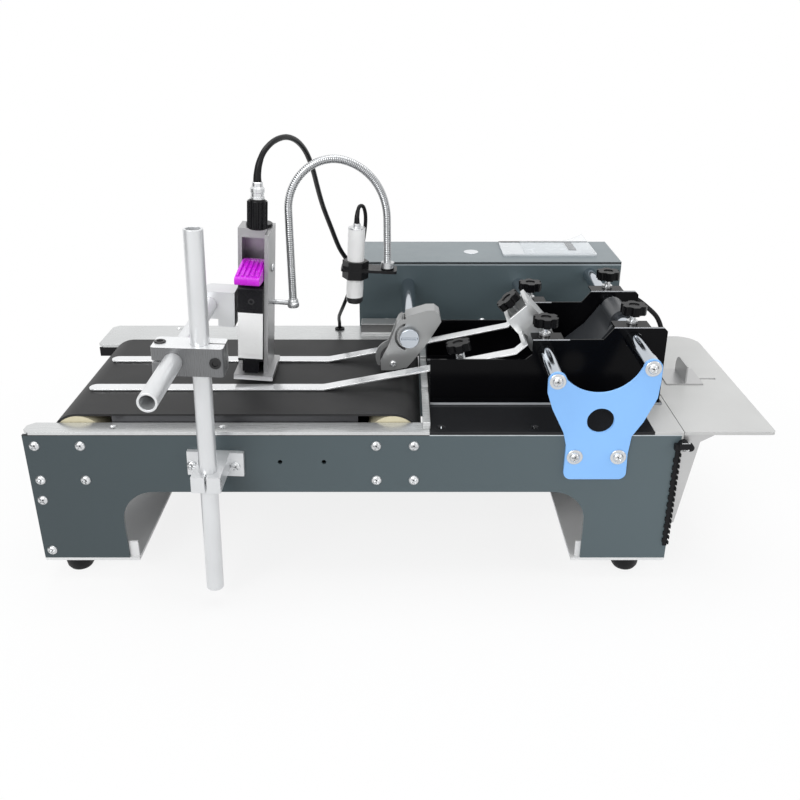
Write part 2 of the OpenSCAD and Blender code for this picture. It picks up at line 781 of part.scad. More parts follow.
// Strip block on the left bar, drawn in its slanted frame
module in_block() {
  translate([blk_a[0], 0, blk_a[1]]) rotate([0, blk_ang, 0]) children();
}
blk_bar = [(bar1[0] - blk_a[0]) * cos(blk_ang) - (bar1[1] - blk_a[1]) * sin(blk_ang),
    (bar1[0] - blk_a[0]) * sin(blk_ang) + (bar1[1] - blk_a[1]) * cos(blk_ang)];
module strip_block() {
  color(c_alu) shift() in_block() difference() {
    union() {
      xz(100, 140) difference() {
        union() {
          translate([0, -blk_v]) square([blk_u, blk_t]);
          translate([0, -blk_v]) square([blk_t, blk_v]);
          translate([blk_u - blk_t, -34]) square([blk_t, 36]);
          translate([5, -36]) square([21, 16]);
          translate(blk_bar) circle(bar_r + 6);
        }
        translate(blk_bar) circle(bar_r + run);
      }
      box(0, 4, strip1_y, 101, -blk_v, -blk_v + 4);
      box(0, 4, 139, strip2_y + strip_w, -blk_v, -blk_v + 4);
    }
    zcyl(12.5, 120, -30, 2, 5 + 2 * run);
  }
}
// Hold-down strip: flat over the belt, then up to the block
module strip(y) {
  xy(172, 172 + strip_t) {
    translate([39 + strip_w / 2, y + strip_w / 2]) circle(strip_w / 2);
    translate([39 + strip_w / 2, y]) square([233 - strip_w / 2, strip_w]);
  }
  xz(y, y + strip_w) path([[270, 172 + strip_t / 2], [273, 172 + strip_t / 2], strip_rise,
      strip_knee, strip_end], strip_t);
}
// The rise starts behind the belt's end and runs straight to the knee
strip_rise = [380, 193.8];
strip_knee = blk_pt(-11, -blk_v - strip_t / 2);
strip_end = blk_pt(3.5, -blk_v - strip_t / 2);
function blk_pt(u, w) = [blk_a[0] + u * cos(blk_ang) + w * sin(blk_ang),
    blk_a[1] - u * sin(blk_ang) + w * cos(blk_ang)];
knob_a = atan2(strip_knee[1] - strip_rise[1], strip_knee[0] - strip_rise[0]);
knob_at = [410.5, strip1_y + strip_w / 2,
    strip_rise[1] + (410.5 - strip_rise[0]) * tan(knob_a)];
module on_strip() {
  translate(knob_at) rotate([0, -knob_a, 0]) children();
}
module front_strip() {
  color(c_chrome) shift() difference() {
    union() {
      strip(strip1_y);
      on_strip() translate([-6, -6, -5]) cube([12, 12, 4.6]);
    }
    on_strip() cylinder(h = 20, d = 4 + 2 * run, center = true);
  }
}
module rear_strip() {
  color(c_chrome) shift() strip(strip2_y);
}
module block_knob() {
  color(c_black) shift() in_block() translate([12.5, 120, 0]) {
    zcyl(0, 0, -27, 6, 5);
    translate([0, 0, 5]) star(8);
  }
}
module strip_knob() {
  color(c_black) shift() on_strip() {
    zcyl(0, 0, -7, 16, 4);
    zcyl(0, 0, strip_t / 2 + 0.2, 14, 9);
    translate([0, 0, 13.2]) star(8);
  }
}

// Clamp on the side plate that carries the post
module base_clamp() {
  color(c_alu) shift() difference() {
    lean_post() {
      box(151.5, 204, -5, 0, 120.2, 144.5);
      box(stand_x - 13, stand_x + 13, -53, -3, 129, 144.5);
    }
    lean_post() {
      zcyl(stand_x, post_y, 120, 150, tube_d + 2 * run);
      box(stand_x - 1, stand_x + 1, -55, post_y, 120, 150);
      xcyl(-49, 136.7, stand_x - 20, stand_x + 20, 4.2);
      xcyl(-49, 136.7, stand_x + 8, stand_x + 20, 7.6);
    }
    for (p = [bolt1, bolt2]) ycyl(p, -6, 1, bore_d);
    box(140, 215, 0, 10, 100, 160);
  }
}
module post_tube() {
  color(c_alu) shift() lean_post() difference() {
    zcyl(stand_x, post_y, 19.6, post_top, tube_d);
    zcyl(stand_x, post_y, 18, post_top + 1, tube_d - 4);
  }
}
module cross_clamp() {
  color(c_alu) shift() difference() {
    lean_post() difference() {
      xy(arm_lz - 12.5, arm_lz + 12.5) rrect(arm_lx - 18, stand_x + 21, -52, -26, 3);
      zcyl(stand_x, post_y, 200, 300, tube_d + 2 * run);
      box(stand_x, stand_x + 30, post_y - 1, post_y + 1, 200, 300);
      ycyl([stand_x + 14.5, arm_lz], -53, -25, 4.2);
      zcyl(arm_lx - 12.6, post_y, 200, 300, 4.2);
      box(arm_lx - 30, arm_lx, -60, -20, arm_lz - 1, arm_lz + 1);
    }
    ycyl([arm_x, arm_z], -60, -20, tube_d + 2 * run);
  }
}
module cross_tube() {
  color(c_alu) shift() difference() {
    ycyl([arm_x, arm_z], arm_y0, arm_y1, tube_d);
    ycyl([arm_x, arm_z], arm_y0 - 1, arm_y1 + 1, tube_d - 4);
  }
}

// Print head: clamp, housing, latch, cartridge and plug
module head_clamp() {
  color(c_alu) shift() lean_head() difference() {
    xz(98, arm_y1) union() {
      translate([head_x, head_z]) circle(14);
      translate([head_x, head_z - 14]) square([ch0 - head_x, 28]);
      translate([171, 232]) square([ch0 - 171, 10]);
    }
    ycyl([head_x, head_z], 90, 130, tube_d + 2 * run);
    box(140, head_x, 90, 130, head_z - 1, head_z + 1);
    zcyl(152, 111, 230, 280, 3.2);
  }
}
module head_housing() {
  color(c_alu) shift() lean_head() difference() {
    union() {
      yz(ch0, ch0 + cheek_t) difference() {
        translate([119, foot_z1 - 1]) square([29, 327 - foot_z1 + 1]);
        translate([119, 321]) square([6, 6]);
      }
      yz(ch1 - cheek_t, ch1) translate([97, foot_z1 - 1]) square([51, 327 - foot_z1 + 1]);
      box(ch0, ch1, 144, 148, foot_z1 - 1, 327);
      box(ch0, ch1, 119, 148, 318, 327);
      box(ch0, ch1 + 6, 89.5, 149, foot_z0, foot_z1);
    }
    xcyl(latch_y, latch_z, ch0 - 1, ch1 + 1, 5 + 2 * run);
    box(cart_x - 5, cart_x + 5, 100, 128, foot_z0 - 1, foot_z1 + 1);
  }
}
module latch_lever() {
  color(c_violet) shift() lean_head() {
    yz(cart_x - cart_w / 2 + 0.3, cart_x + cart_w / 2 - 0.3) union() {
      translate([latch_y, latch_z]) circle(8);
      polygon([[latch_y - 1, latch_z + 8], [110, latch_z + 9], [78, 294], [71, 290], [69, 285],
          [71, 281.2], [84, 279.4], [100, 279.4], [latch_y, latch_z - 8]]);
    }
    xcyl(latch_y, latch_z, ch0 + 0.5, ch1 - 0.5, 5);
    for (i = [-1.5:1:1.5]) translate([cart_x + 4.6 * i, 78, 293.6]) rotate([5, 0, 0])
      cube([2, 30, 1.4]);
  }
}
module ink_cartridge() {
  color(c_black) shift() lean_head() {
    difference() {
      yz(cart_x - cart_w / 2, cart_x + cart_w / 2) union() {
        rrect(91, 142, 206, 278, 5);
        translate([91, 200]) square([51, 20]);
      }
      xcyl(98, 271, cart_x + cart_w / 2 - 0.8, cart_x + cart_w, 5);
    }
    box(cart_x - cart_w / 2 + 0.6, cart_x + cart_w / 2 - 0.6, 90.6, 91.2, 207, 254);
    box(cart_x - 8, cart_x + 8, 93, 138, 188, 201);
    box(cart_x - 6.5, cart_x + 6.5, 96, 132, foot_z1 + 0.1, 189);
  }
}
module head_connector() {
  color(c_black) shift() lean_head() {
    zcyl(plug_x, plug_y + 14, 327, 330, 26);
    translate([plug_x, plug_y, 0]) {
      zcyl(0, 0, 327, 356, 16.6);
      for (z = [329:4:349]) zcyl(0, 0, z, z + 2.6, 18);
      zcyl(0, 0, 356, 366, 12);
      zcyl(0, 0, 366, 372, 9);
    }
  }
}
module head_cable() {
  color(c_black) shift()
    cord(head_route, 2.8, 4, 8, [sin(head_lean), 0, cos(head_lean)], [1, 0, 0]);
}

// Gooseneck: a rod from the cheek, then a chain of tangent arcs in one upright plane
module neck_arc(r, a) {
  rotate([90, 0, 0]) rotate_extrude(angle = a) translate([r, 0]) circle(neck_r);
}
// Crimp ring over a joint of the gooseneck
module crimp() {
  translate([0, 0, -1]) cylinder(h = 2, r = neck_r + 0.4);
}
module gooseneck() {
  ex = neck_r1 + (neck_r1 - neck_r2) * sin(15);
  ez = neck_z + neck_up + (neck_r1 - neck_r2) * cos(15);
  rod = head_pt(ch1, rod_z);
  color(c_silver) shift() {
    translate([0, 136, 0]) lean_head() xcyl(0, rod_z, ch1, 236, 5);
    translate([neck_p[0], neck_p[1], 0]) {
      zcyl(0, 0, rod[1] - 6, neck_z + 6, 12);
      rotate(neck_a) {
        zcyl(0, 0, neck_z, neck_z + neck_up, 2 * neck_r);
        translate([0, 0, neck_z + neck_up]) crimp();
        translate([neck_r1, 0, neck_z + neck_up]) rotate([0, -75, 0]) {
          neck_arc(neck_r1, 105);
          translate([neck_r1, 0, 0]) crimp();
        }
        translate([ex, 0, ez]) neck_arc(neck_r2, 75);
        translate([ex + neck_r2, 0, ez]) crimp();
        zcyl(ex + neck_r2, 0, sens[2] - 0.6, ez, 2 * neck_r);
      }
    }
  }
}
neck_end = neck_r1 + (neck_r1 - neck_r2) * sin(15) + neck_r2;
neck_q = [neck_p[0] + neck_end * cos(neck_a), neck_p[1] + neck_end * sin(neck_a)];
module in_sensor() {
  translate(sens) rotate([0, sens_lean, 0]) children();
}
module sensor_bracket() {
  color(c_black) shift() difference() {
    in_sensor() {
      translate([0, 0, -1.5]) linear_extrude(3) rrect(-15, 44, -12, 12, 4);
      zcyl(neck_q[0] - sens[0], neck_q[1] - sens[1], 1, 9, 14);
      translate([0, 0, 1.5]) cylinder(h = 7, d = 28, $fn = 6);
      translate([0, 0, -10.5]) cylinder(h = 9, d = 28, $fn = 6);
    }
    in_sensor() cylinder(h = 40, d = 18.2, center = true);
    zcyl(neck_q[0], neck_q[1], sens[2] - 0.8, 300, 2 * neck_r + 2 * run);
  }
}
module photo_sensor() {
  color(c_white) shift() in_sensor() {
    zcyl(0, 0, -36, 44, 18);
    zcyl(0, 0, -38, -35.5, 15);
    zcyl(0, 0, 43, 48, 8);
  }
}
module sensor_cable() {
  color(c_black) shift()
    cord(sensor_route, 2, 4, 8, [sin(sens_lean), 0, cos(sens_lean)], [0, 0, -1]);
}

side_plates();
side_rails();
cross_plates();
rubber_feet();
slider_bed();
transport_belt();
feeder_deck();
transition_strip();
end_cover();
edge_trim();
tray();
tray_brackets();
tray_stop();
bar_end_plate();
guide_bars();
gate_shaft();
box_body();
box_lid();
display_panel();
frame_screws();
bearings();
drive_motor();
drive_belt();
control_board();
base_clamp();
cable_sockets();
side_lead();
drive_roller();
idler_roller();
motor_pulley();
feed_shaft();
feed_wheels();
gate_bracket();
separator_wheel();
front_guide();
rear_guide();
front_left_knob();
front_right_knob();
rear_left_knob();
rear_right_knob();
stack_ramp();
strip_block();
front_strip();
rear_strip();
block_knob();
strip_knob();
post_tube();
cross_clamp();
cross_tube();
head_clamp();
head_housing();
latch_lever();
ink_cartridge();
head_connector();
gooseneck();
sensor_bracket();
photo_sensor();
head_cable();
sensor_cable();
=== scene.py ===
import json
import math

import bmesh
import bpy
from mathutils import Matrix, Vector

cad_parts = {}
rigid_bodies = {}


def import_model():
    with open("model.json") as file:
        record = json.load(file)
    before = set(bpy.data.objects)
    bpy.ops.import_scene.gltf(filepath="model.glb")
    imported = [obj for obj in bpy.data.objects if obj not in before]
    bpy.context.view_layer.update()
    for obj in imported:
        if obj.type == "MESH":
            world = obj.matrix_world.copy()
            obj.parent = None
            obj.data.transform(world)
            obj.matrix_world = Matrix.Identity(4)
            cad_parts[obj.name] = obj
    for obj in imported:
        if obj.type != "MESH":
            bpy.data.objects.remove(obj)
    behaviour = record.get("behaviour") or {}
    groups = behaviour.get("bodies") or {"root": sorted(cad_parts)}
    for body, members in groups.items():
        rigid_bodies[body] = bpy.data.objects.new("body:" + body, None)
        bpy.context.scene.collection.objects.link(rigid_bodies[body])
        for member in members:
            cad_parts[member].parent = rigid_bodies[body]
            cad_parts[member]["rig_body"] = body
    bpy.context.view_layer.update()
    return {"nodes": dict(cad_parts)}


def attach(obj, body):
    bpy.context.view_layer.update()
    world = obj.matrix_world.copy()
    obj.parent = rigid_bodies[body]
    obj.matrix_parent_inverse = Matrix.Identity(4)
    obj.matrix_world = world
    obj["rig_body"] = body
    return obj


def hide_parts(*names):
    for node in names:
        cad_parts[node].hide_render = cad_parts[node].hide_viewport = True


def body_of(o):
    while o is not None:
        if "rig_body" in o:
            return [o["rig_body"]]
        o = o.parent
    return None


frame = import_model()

nodes = frame["nodes"]


# Camera: the photograph is taken from in front and above, 24 degrees down, a little left of
# the middle, with a lens of 883 pixels across a picture of 800.
photo_px = 800
focal_px = 883
centre_px = 402
sensor_mm = 36
camera_at = (0.003, -0.8565, 0.5263)
pitch_down = math.radians(24.4)


def placed(name, data):
    """A new object in the scene for the data."""
    made = bpy.data.objects.new(name, data)
    bpy.context.collection.objects.link(made)
    return made


camera = placed("photo_camera", bpy.data.cameras.new("photo_camera"))
camera.data.sensor_width = sensor_mm
camera.data.lens = focal_px / photo_px * sensor_mm
camera.data.shift_x = (photo_px / 2 - centre_px) / photo_px
camera.location = camera_at
camera.rotation_euler = (math.pi / 2 - pitch_down, 0, 0)
bpy.context.scene.camera = camera


# Head cable: black jacket of 5.6 mm, out of the plug on the head in a high bow and down to the
# control box. It is a bought cable with a moulded rubber boot at each end.
class Wire:
    """One socket of a node tree that takes part in sums."""

    def __init__(self, tree, socket):
        self.tree = tree
        self.socket = socket

    def maths(self, operation, first, second=None, clamp=False):
        inputs = {0: first}
        if second is not None:
            inputs[1] = second
        node = self.tree.node("ShaderNodeMath", inputs, operation=operation, use_clamp=clamp)
        return Wire(self.tree, node.outputs[0])

    def __add__(self, other):
        return self.maths("ADD", self, other)

    def __radd__(self, other):
        return self.maths("ADD", other, self)

    def __sub__(self, other):
        return self.maths("SUBTRACT", self, other)

    def __mul__(self, other):
        return self.maths("MULTIPLY", self, other)

    def __truediv__(self, other):
        return self.maths("DIVIDE", self, other)

    def __gt__(self, other):
        return self.maths("GREATER_THAN", self, other)

    def __lt__(self, other):
        return self.maths("LESS_THAN", self, other)

    def sin(self):
        return self.maths("SINE", self)

    def root(self):
        return self.maths("SQRT", self)

    def either(self, other):
        """The larger of the two, which joins two masks."""
        return self.maths("MAXIMUM", self, other)

    def between(self, low, high):
        """0 below low, 1 above high and a straight rise in between."""
        return self.maths("MULTIPLY", self - low, 1 / (high - low), clamp=True)


class Tree:
    """A node tree in the making."""

    def __init__(self, tree):
        self.tree = tree

    def node(self, kind, inputs=None, **settings):
        """A node of a kind, with its settings and the values or wires of its sockets."""
        made = self.tree.nodes.new(kind)
        for key, value in settings.items():
            setattr(made, key, value)
        for key, value in (inputs or {}).items():
            parts = value if isinstance(value, list) else [value]
            for part in parts:
                if isinstance(part, Wire):
                    self.tree.links.new(part.socket, made.inputs[key])
                else:
                    made.inputs[key].default_value = part
        return made


class Look(Tree):
    """A material in the making, with its Principled shader and the colour it has so far."""

    def __init__(self, name, colour, rough, metal=0.0, specular=0.5, alpha=1.0):
        self.material = bpy.data.materials.new(name)
        self.material.use_nodes = True
        self.material.diffuse_color = (*colour, 1)
        super().__init__(self.material.node_tree)
        self.shader = self.tree.nodes["Principled BSDF"]
        self.shader.inputs["Base Color"].default_value = (*colour, 1)
        self.shader.inputs["Roughness"].default_value = rough
        self.shader.inputs["Metallic"].default_value = metal
        self.shader.inputs["Specular IOR Level"].default_value = specular
        self.shader.inputs["Alpha"].default_value = alpha
        self.base = (*colour, 1)

    def place(self, scale=(1, 1, 1)):
        """Object coordinates in metres, stretched."""
        coords = Wire(self, self.node("ShaderNodeTexCoord").outputs["Object"])
        return Wire(self, self.node("ShaderNodeMapping",
                                    {"Vector": coords, "Scale": scale}).outputs[0])

    def axes(self):
        """The three object coordinates, each as a wire of its own."""
        split = self.node("ShaderNodeSeparateXYZ", {0: self.place()})
        return [Wire(self, split.outputs[i]) for i in range(3)]

    def noise(self, scale, detail=2.0, stretch=(1, 1, 1)):
        node = self.node("ShaderNodeTexNoise",
                         {"Vector": self.place(stretch), "Scale": scale, "Detail": detail})
        return Wire(self, node.outputs["Fac"])

    def colour(self, mask, first, second):
        """Base colour that runs from first to second as mask goes from 0 to 1."""
        mix = self.node("ShaderNodeMix", {0: mask, 6: first, 7: second}, data_type="RGBA")
        self.base = Wire(self, mix.outputs[2])
        return self.put("Base Color", self.base)

    def upward(self):
        """1 on a face that looks up, 0 on an upright one and -1 underneath."""
        way = Wire(self, self.node("ShaderNodeNewGeometry").outputs["Normal"])
        return Wire(self, self.node("ShaderNodeSeparateXYZ", {0: way}).outputs[2])

    def tint(self, mask, dark, light):
        """Dark where mask is 0, light where it is 1, in place of the colour so far."""
        return self.colour(mask, (*dark, 1), (*light, 1))

    def over(self, mask, colour):
        """Another colour over what is there, where mask is 1."""
        return self.colour(mask, self.base, (*colour, 1))

    def put(self, name, wire):
        """Leads a wire to one of the shader's own sockets."""
        self.tree.links.new(wire.socket, self.shader.inputs[name])
        return self

    def bump(self, wire, depth, strength=1.0):
        node = self.node("ShaderNodeBump",
                         {"Height": wire, "Distance": depth, "Strength": strength})
        return self.put("Normal", Wire(self, node.outputs[0]))

    def dress(self, *targets):
        for target in targets:
            target.data.materials.clear()
            target.data.materials.append(self.material)
        return self


def row(x, y, z):
    """A point of the machine's own millimetres, which start at the frame's left end, its front
    face and the table, in the row frame's metres."""
    return Vector((x - 348.5, y - 127.5, z)) / 1000


def smooth_route(points, steps):
    """Catmull-Rom points through a route, the same rule as the CAD sweep."""
    ends = [points[0]] + points + [points[-1]]
    line = []
    for a, b, c, d in zip(ends, ends[1:], ends[2:], ends[3:]):
        for k in range(steps):
            t = k / steps
            line.append(0.5 * (2 * b + (c - a) * t + (2 * a - 5 * b + 4 * c - d) * t ** 2
                               + (3 * b - a - 3 * c + d) * t ** 3))
    return line + [points[-1]]


def ride_as(piece, body, slot, *replaced):
    """Ties a piece to its body and hides the nodes that it stands for. The slot is not used."""
    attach(piece, body)
    if replaced:
        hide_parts(*replaced)
    return piece


def round_curve(name, radius):
    """An empty curve that fills out to a round cord with closed ends."""
    curve = bpy.data.curves.new(name, "CURVE")
    curve.dimensions = "3D"
    curve.bevel_depth = radius
    curve.bevel_resolution = 5
    curve.use_fill_caps = True
    return curve


def add_boot(name, line, root, tip, length, look, body, slot):
    """A tapered rubber sleeve over the first stretch of a cord."""
    stretch = [line[0]]
    for place in line[1:]:
        if (place - line[0]).length > length:
            break
        stretch.append(place)
    curve = round_curve(name, root)
    spline = curve.splines.new("POLY")
    spline.points.add(len(stretch) - 1)
    for k, place in enumerate(stretch):
        spline.points[k].co = (*place, 1)
        spline.points[k].radius = 1 + (tip / root - 1) * k / (len(stretch) - 1)
    boot = placed(name, curve)
    boot.data.materials.append(look.material)
    return ride_as(boot, body, slot)


def lay_cord(name, route, diameter, boots, body, node):
    """A cord along a route, as Bezier stretches with handles a third of a stretch long. Boots
    gives the root radius and the length of the sleeve at its start, its end or both."""
    points = [row(*p) for p in route]
    knots = smooth_route(points, steps=2)
    fine = smooth_route(points, steps=12)
    curve = round_curve(name, diameter / 2)
    curve.resolution_u = 5
    spline = curve.splines.new("BEZIER")
    spline.bezier_points.add(len(knots) - 1)
    before = [knots[0]] + knots[:-1]
    after = knots[1:] + [knots[-1]]
    for point, place, last, following in zip(spline.bezier_points, knots, before, after):
        point.co = place
        point.handle_left = place - (following - last) / 6
        point.handle_right = place + (following - last) / 6
    cable = placed(name, curve)
    look = Look(name + "_jacket", (0.008, 0.008, 0.009), 0.38, specular=0.2)
    look.put("Roughness", 0.36 + (look.noise(90, 2) - 0.5) * 0.2)
    look.bump(look.noise(500, 2), 0.00002, 0.5)
    look.tint(look.noise(30, 2), (0.006, 0.006, 0.007), (0.01, 0.01, 0.011))
    cable.data.materials.append(look.material)
    tip = diameter / 2 + 0.0002
    for tag, line in (("start", fine), ("end", fine[::-1])):
        if tag in boots:
            root, length = boots[tag]
            add_boot(f"{name}_{tag}_boot", line, root, tip, length, look,
                                    body, node)
    ride_as(cable, body, node, node)
    sum((b - a).length for a, b in zip(fine, fine[1:]))


head_route = [(214.2, 120, 368.7), (214.7, 120, 375.7), (217, 121, 386), (221.5, 126.5, 396),
              (229, 141, 403), (238, 162, 404), (246, 185, 397), (252, 208, 383),
              (256, 230, 363), (258, 255, 339), (261, 283, 311), (268, 310, 278),
              (275, 330, 250), (283, 341, 233), (287.5, 345, 228.4), (292, 345, 228)]
lay_cord("head_cord", head_route, 0.0056, {"start": (0.0041, 0.022), "end": (0.0041, 0.016)},
         "head", "head_cable")

# Sensor cable: thin black jacket of 4 mm, out of the sensor's gland, over in a small bow and
# down behind the belt through a rubber grommet at the rear edge of the rear rail.
sensor_route = [(304.5, 185, 313.9), (304.9, 185, 322), (307, 189, 330), (311, 195, 329),
                (313, 200, 318), (311.5, 202, 300), (306, 203, 272), (298, 204, 246),
                (291, 210, 227), (284, 224, 208), (279, 244, 193), (277, 262, 182),
                (276.5, 274, 174), (276.3, 279, 165.1)]
lay_cord("sensor_cord", sensor_route, 0.004, {"start": (0.0031, 0.013)}, "head",
         "sensor_cable")

# Side lead: short black lead of 6 mm with two boots, from the control box's right end back into
# the frame under the tray.
lead_route = [(620, 320, 191.5), (627, 320, 191.5), (636, 320, 190.5), (646, 320, 185.5),
              (657, 320, 177), (669, 319, 166), (676, 317, 152), (677, 312, 137),
              (671, 304, 123), (658, 293, 112), (642, 282, 104), (629, 276, 100.4),
              (620, 275, 100)]
lay_cord("side_cord", lead_route, 0.006, {"start": (0.0048, 0.022), "end": (0.0048, 0.02)},
         "frame", "side_lead")


# Side plates: two blanks of 3 mm steel with an arch between the feet, cut, punched and powder
# coated in slate grey, drawn darker towards the left end as painted shade. Along the deck the top
# edge carries a painted highlight, and under the rails a painted shadow.
def shade(colour, factor):
    """A colour made darker or lighter."""
    return tuple(min(1, c * factor) for c in colour)


def painted(name, colour, rough=0.42, peel=0.00002, specular=0.4):
    """Powder coat: orange peel, and paint a little uneven in tone."""
    look = Look(name, colour, rough, specular=specular)
    tone = look.noise(9, 3)
    look.tint(tone.between(0.3, 0.7), shade(colour, 0.94), shade(colour, 1.06))
    look.put("Roughness", rough + (look.noise(60, 2) - 0.5) * 0.12)
    look.bump(look.noise(900, 2), peel, 0.5)
    return look


sharp = math.radians(32)
nearly_flat = math.radians(0.4)
weld_reach = 0.00001
thickest_sheet = 0.0035


def break_edges(piece, width, segments=2):
    """A small bevel on each sharp edge, as filing or tumbling leaves it."""
    bevel = piece.modifiers.new("broken_edges", "BEVEL")
    bevel.width = width
    bevel.segments = segments
    bevel.limit_method = "ANGLE"
    bevel.angle_limit = sharp
    bevel.harden_normals = True


def dressed(name, look, width=0.0, cut_look=None, segments=2):
    """A merged copy of a CAD node's mesh with broken edges, which stands for the node. The cut
    edges of upright sheet, up to 3.5 mm thick, can have a look of their own."""
    cad = nodes[name].data
    mesh = bpy.data.meshes.new(name + "_finished")
    mesh.from_pydata([v.co for v in cad.vertices], [], [list(f.vertices) for f in cad.polygons])
    work = bmesh.new()
    work.from_mesh(mesh)
    bmesh.ops.remove_doubles(work, verts=work.verts[:], dist=weld_reach)
    bmesh.ops.dissolve_limit(work, angle_limit=nearly_flat, verts=work.verts[:],
                             edges=work.edges[:])
    for face in work.faces:
        face.smooth = True
        depth = [v.co.y for v in face.verts]
        thin = max(depth) - min(depth) < thickest_sheet
        if cut_look and thin and abs(face.normal.y) < 0.3:
            face.material_index = 1
    for edge in work.edges:
        edge.smooth = len(edge.link_faces) == 2 and edge.calc_face_angle() < sharp
    work.to_mesh(mesh)
    work.free()
    piece = placed(name + "_finished", mesh)
    look.dress(piece)
    if cut_look:
        mesh.materials.append(cut_look.material)
    if width:
        break_edges(piece, width, segments)
    return ride_as(piece, body_of(nodes[name])[0], name, name)


slate = (0.088, 0.12, 0.132)
plate_paint = painted("plate_paint", slate, 0.36)
x, y, z = plate_paint.axes()
# Painted shade: the slate runs from dark at the left end to lighter towards the right.
plate_paint.tint((x + 0.33).between(0, 0.6), (0.046, 0.064, 0.071), (0.094, 0.127, 0.14))
top_edge = z > 0.1592
rail_end = 0.0285
# Painted highlight along the top edge beside the deck, and a painted shadow on that edge under
# the rails.
plate_paint.over(top_edge * (x > rail_end), (0.62, 0.66, 0.68))
plate_paint.over(top_edge * (x < rail_end), (0.02, 0.022, 0.024))
dressed("side_plates", plate_paint, 0.0004)


# Screws: zinc-plated steel with round heads and a cross recess. They hold the bearing blocks,
# cross plates, control box and blue plate, and flat ones hold the rails and the deck.
class Grower(Tree):
    """A Geometry Nodes tree in the making, with named inputs."""

    def __init__(self, name, inputs):
        super().__init__(bpy.data.node_groups.new(name, "GeometryNodeTree"))
        face = self.tree.interface
        face.new_socket(name="Geometry", in_out="OUTPUT", socket_type="NodeSocketGeometry")
        for title, kind in [("Geometry", "Geometry")] + inputs + [("Finish", "Material")]:
            face.new_socket(name=title, in_out="INPUT", socket_type="NodeSocket" + kind)
        entry = self.tree.nodes.new("NodeGroupInput")
        self.given = {s.name: Wire(self, s) for s in entry.outputs if s.name}

    def make(self, kind, inputs=None, output=0, **settings):
        """A node's output as a wire."""
        return Wire(self, self.node(kind, inputs, **settings).outputs[output])

    def end(self, shape):
        """Turns copies into plain geometry and gives it the finish."""
        plain = self.make("GeometryNodeRealizeInstances", {0: shape})
        done = self.make("GeometryNodeSetMaterial", {0: plain, 2: self.given["Finish"]})
        self.node("NodeGroupOutput", {0: done})

    def grow(self, name, mesh, look, **values):
        """The grown shape as a plain mesh object."""
        piece = placed(name, mesh)
        modifier = piece.modifiers.new("grown", "NODES")
        modifier.node_group = self.tree
        values["Finish"] = look.material
        for item in self.tree.interface.items_tree:
            if item.in_out == "INPUT" and item.name in values:
                modifier[item.identifier] = values[item.name]
        bpy.context.view_layer.update()
        evaluated = piece.evaluated_get(bpy.context.evaluated_depsgraph_get())
        plain = bpy.data.meshes.new_from_object(evaluated)
        piece.modifiers.clear()
        piece.data = plain
        look.dress(piece)
        return piece


def metal(name, colour, rough=0.28, grain=(1, 1, 1), depth=0.000008, metallic=1.0):
    """Bare metal with a drawn or brushed grain along the axis with the low number."""
    look = Look(name, colour, rough, metal=metallic)
    lines = look.noise(2000, 2, grain)
    look.tint(look.noise(14, 2).between(0.3, 0.7), shade(colour, 0.94), shade(colour, 1.05))
    look.put("Roughness", rough + (lines - 0.5) * 0.08)
    look.bump(lines, depth, 0.1)
    return look


front = math.pi / 2
back = -math.pi / 2
skyward = 0.0
dome_stretch = 2.5
arm_share = 0.24
recess_reach = 1.4
block_size = 0.05
screw_tree = Grower("round_screws", [("Head_Width", "Float"), ("Head_Height", "Float"),
                                     ("Recess", "Float")])
given = screw_tree.given
crown = screw_tree.make("GeometryNodeMeshUVSphere", {"Segments": 24, "Rings": 16, "Radius": 0.5})
stretch = screw_tree.make("ShaderNodeCombineXYZ", {0: given["Head_Width"], 1: given["Head_Width"],
                                                   2: given["Head_Height"] * dome_stretch})
crown = screw_tree.make("GeometryNodeTransform", {0: crown, "Scale": stretch})
block = screw_tree.make("GeometryNodeMeshCube", {"Size": (block_size,) * 3})
below = screw_tree.make("GeometryNodeTransform",
                        {0: block, "Translation": (0, 0, -block_size / 2)})
lift = screw_tree.make("ShaderNodeCombineXYZ", {2: given["Head_Height"] + block_size / 2})
above = screw_tree.make("GeometryNodeTransform", {0: block, "Translation": lift})
sink = screw_tree.make("ShaderNodeCombineXYZ", {2: given["Head_Height"]})
slots = []
for wide, narrow in ((1.0, arm_share), (arm_share, 1.0)):
    size = screw_tree.make("ShaderNodeCombineXYZ", {0: given["Recess"] * wide,
                                                    1: given["Recess"] * narrow,
                                                    2: given["Head_Height"] * recess_reach})
    bar = screw_tree.make("GeometryNodeMeshCube", {"Size": size})
    slots.append(screw_tree.make("GeometryNodeTransform", {0: bar, "Translation": sink}))
head = screw_tree.make("GeometryNodeMeshBoolean", {0: crown, 1: [below, above] + slots},
                       operation="DIFFERENCE")
turn = screw_tree.make("GeometryNodeInputNamedAttribute", {"Name": "turn"},
                       data_type="FLOAT_VECTOR")
turn = screw_tree.make("FunctionNodeEulerToRotation", {0: turn})
screw_tree.end(screw_tree.make("GeometryNodeInstanceOnPoints",
                               {"Points": given["Geometry"], "Instance": head, "Rotation": turn}))


def screw_points(name, places):
    """One point for each screw, tipped the way it faces and each spun on from the last."""
    spin_step = 0.7
    mesh = bpy.data.meshes.new(name)
    mesh.from_pydata([row(*place) for place, tip in places], [], [])
    turns = mesh.attributes.new("turn", "FLOAT_VECTOR", "POINT")
    for k, (place, tip) in enumerate(places):
        turns.data[k].vector = (tip, spin_step * k, 0)
    return mesh


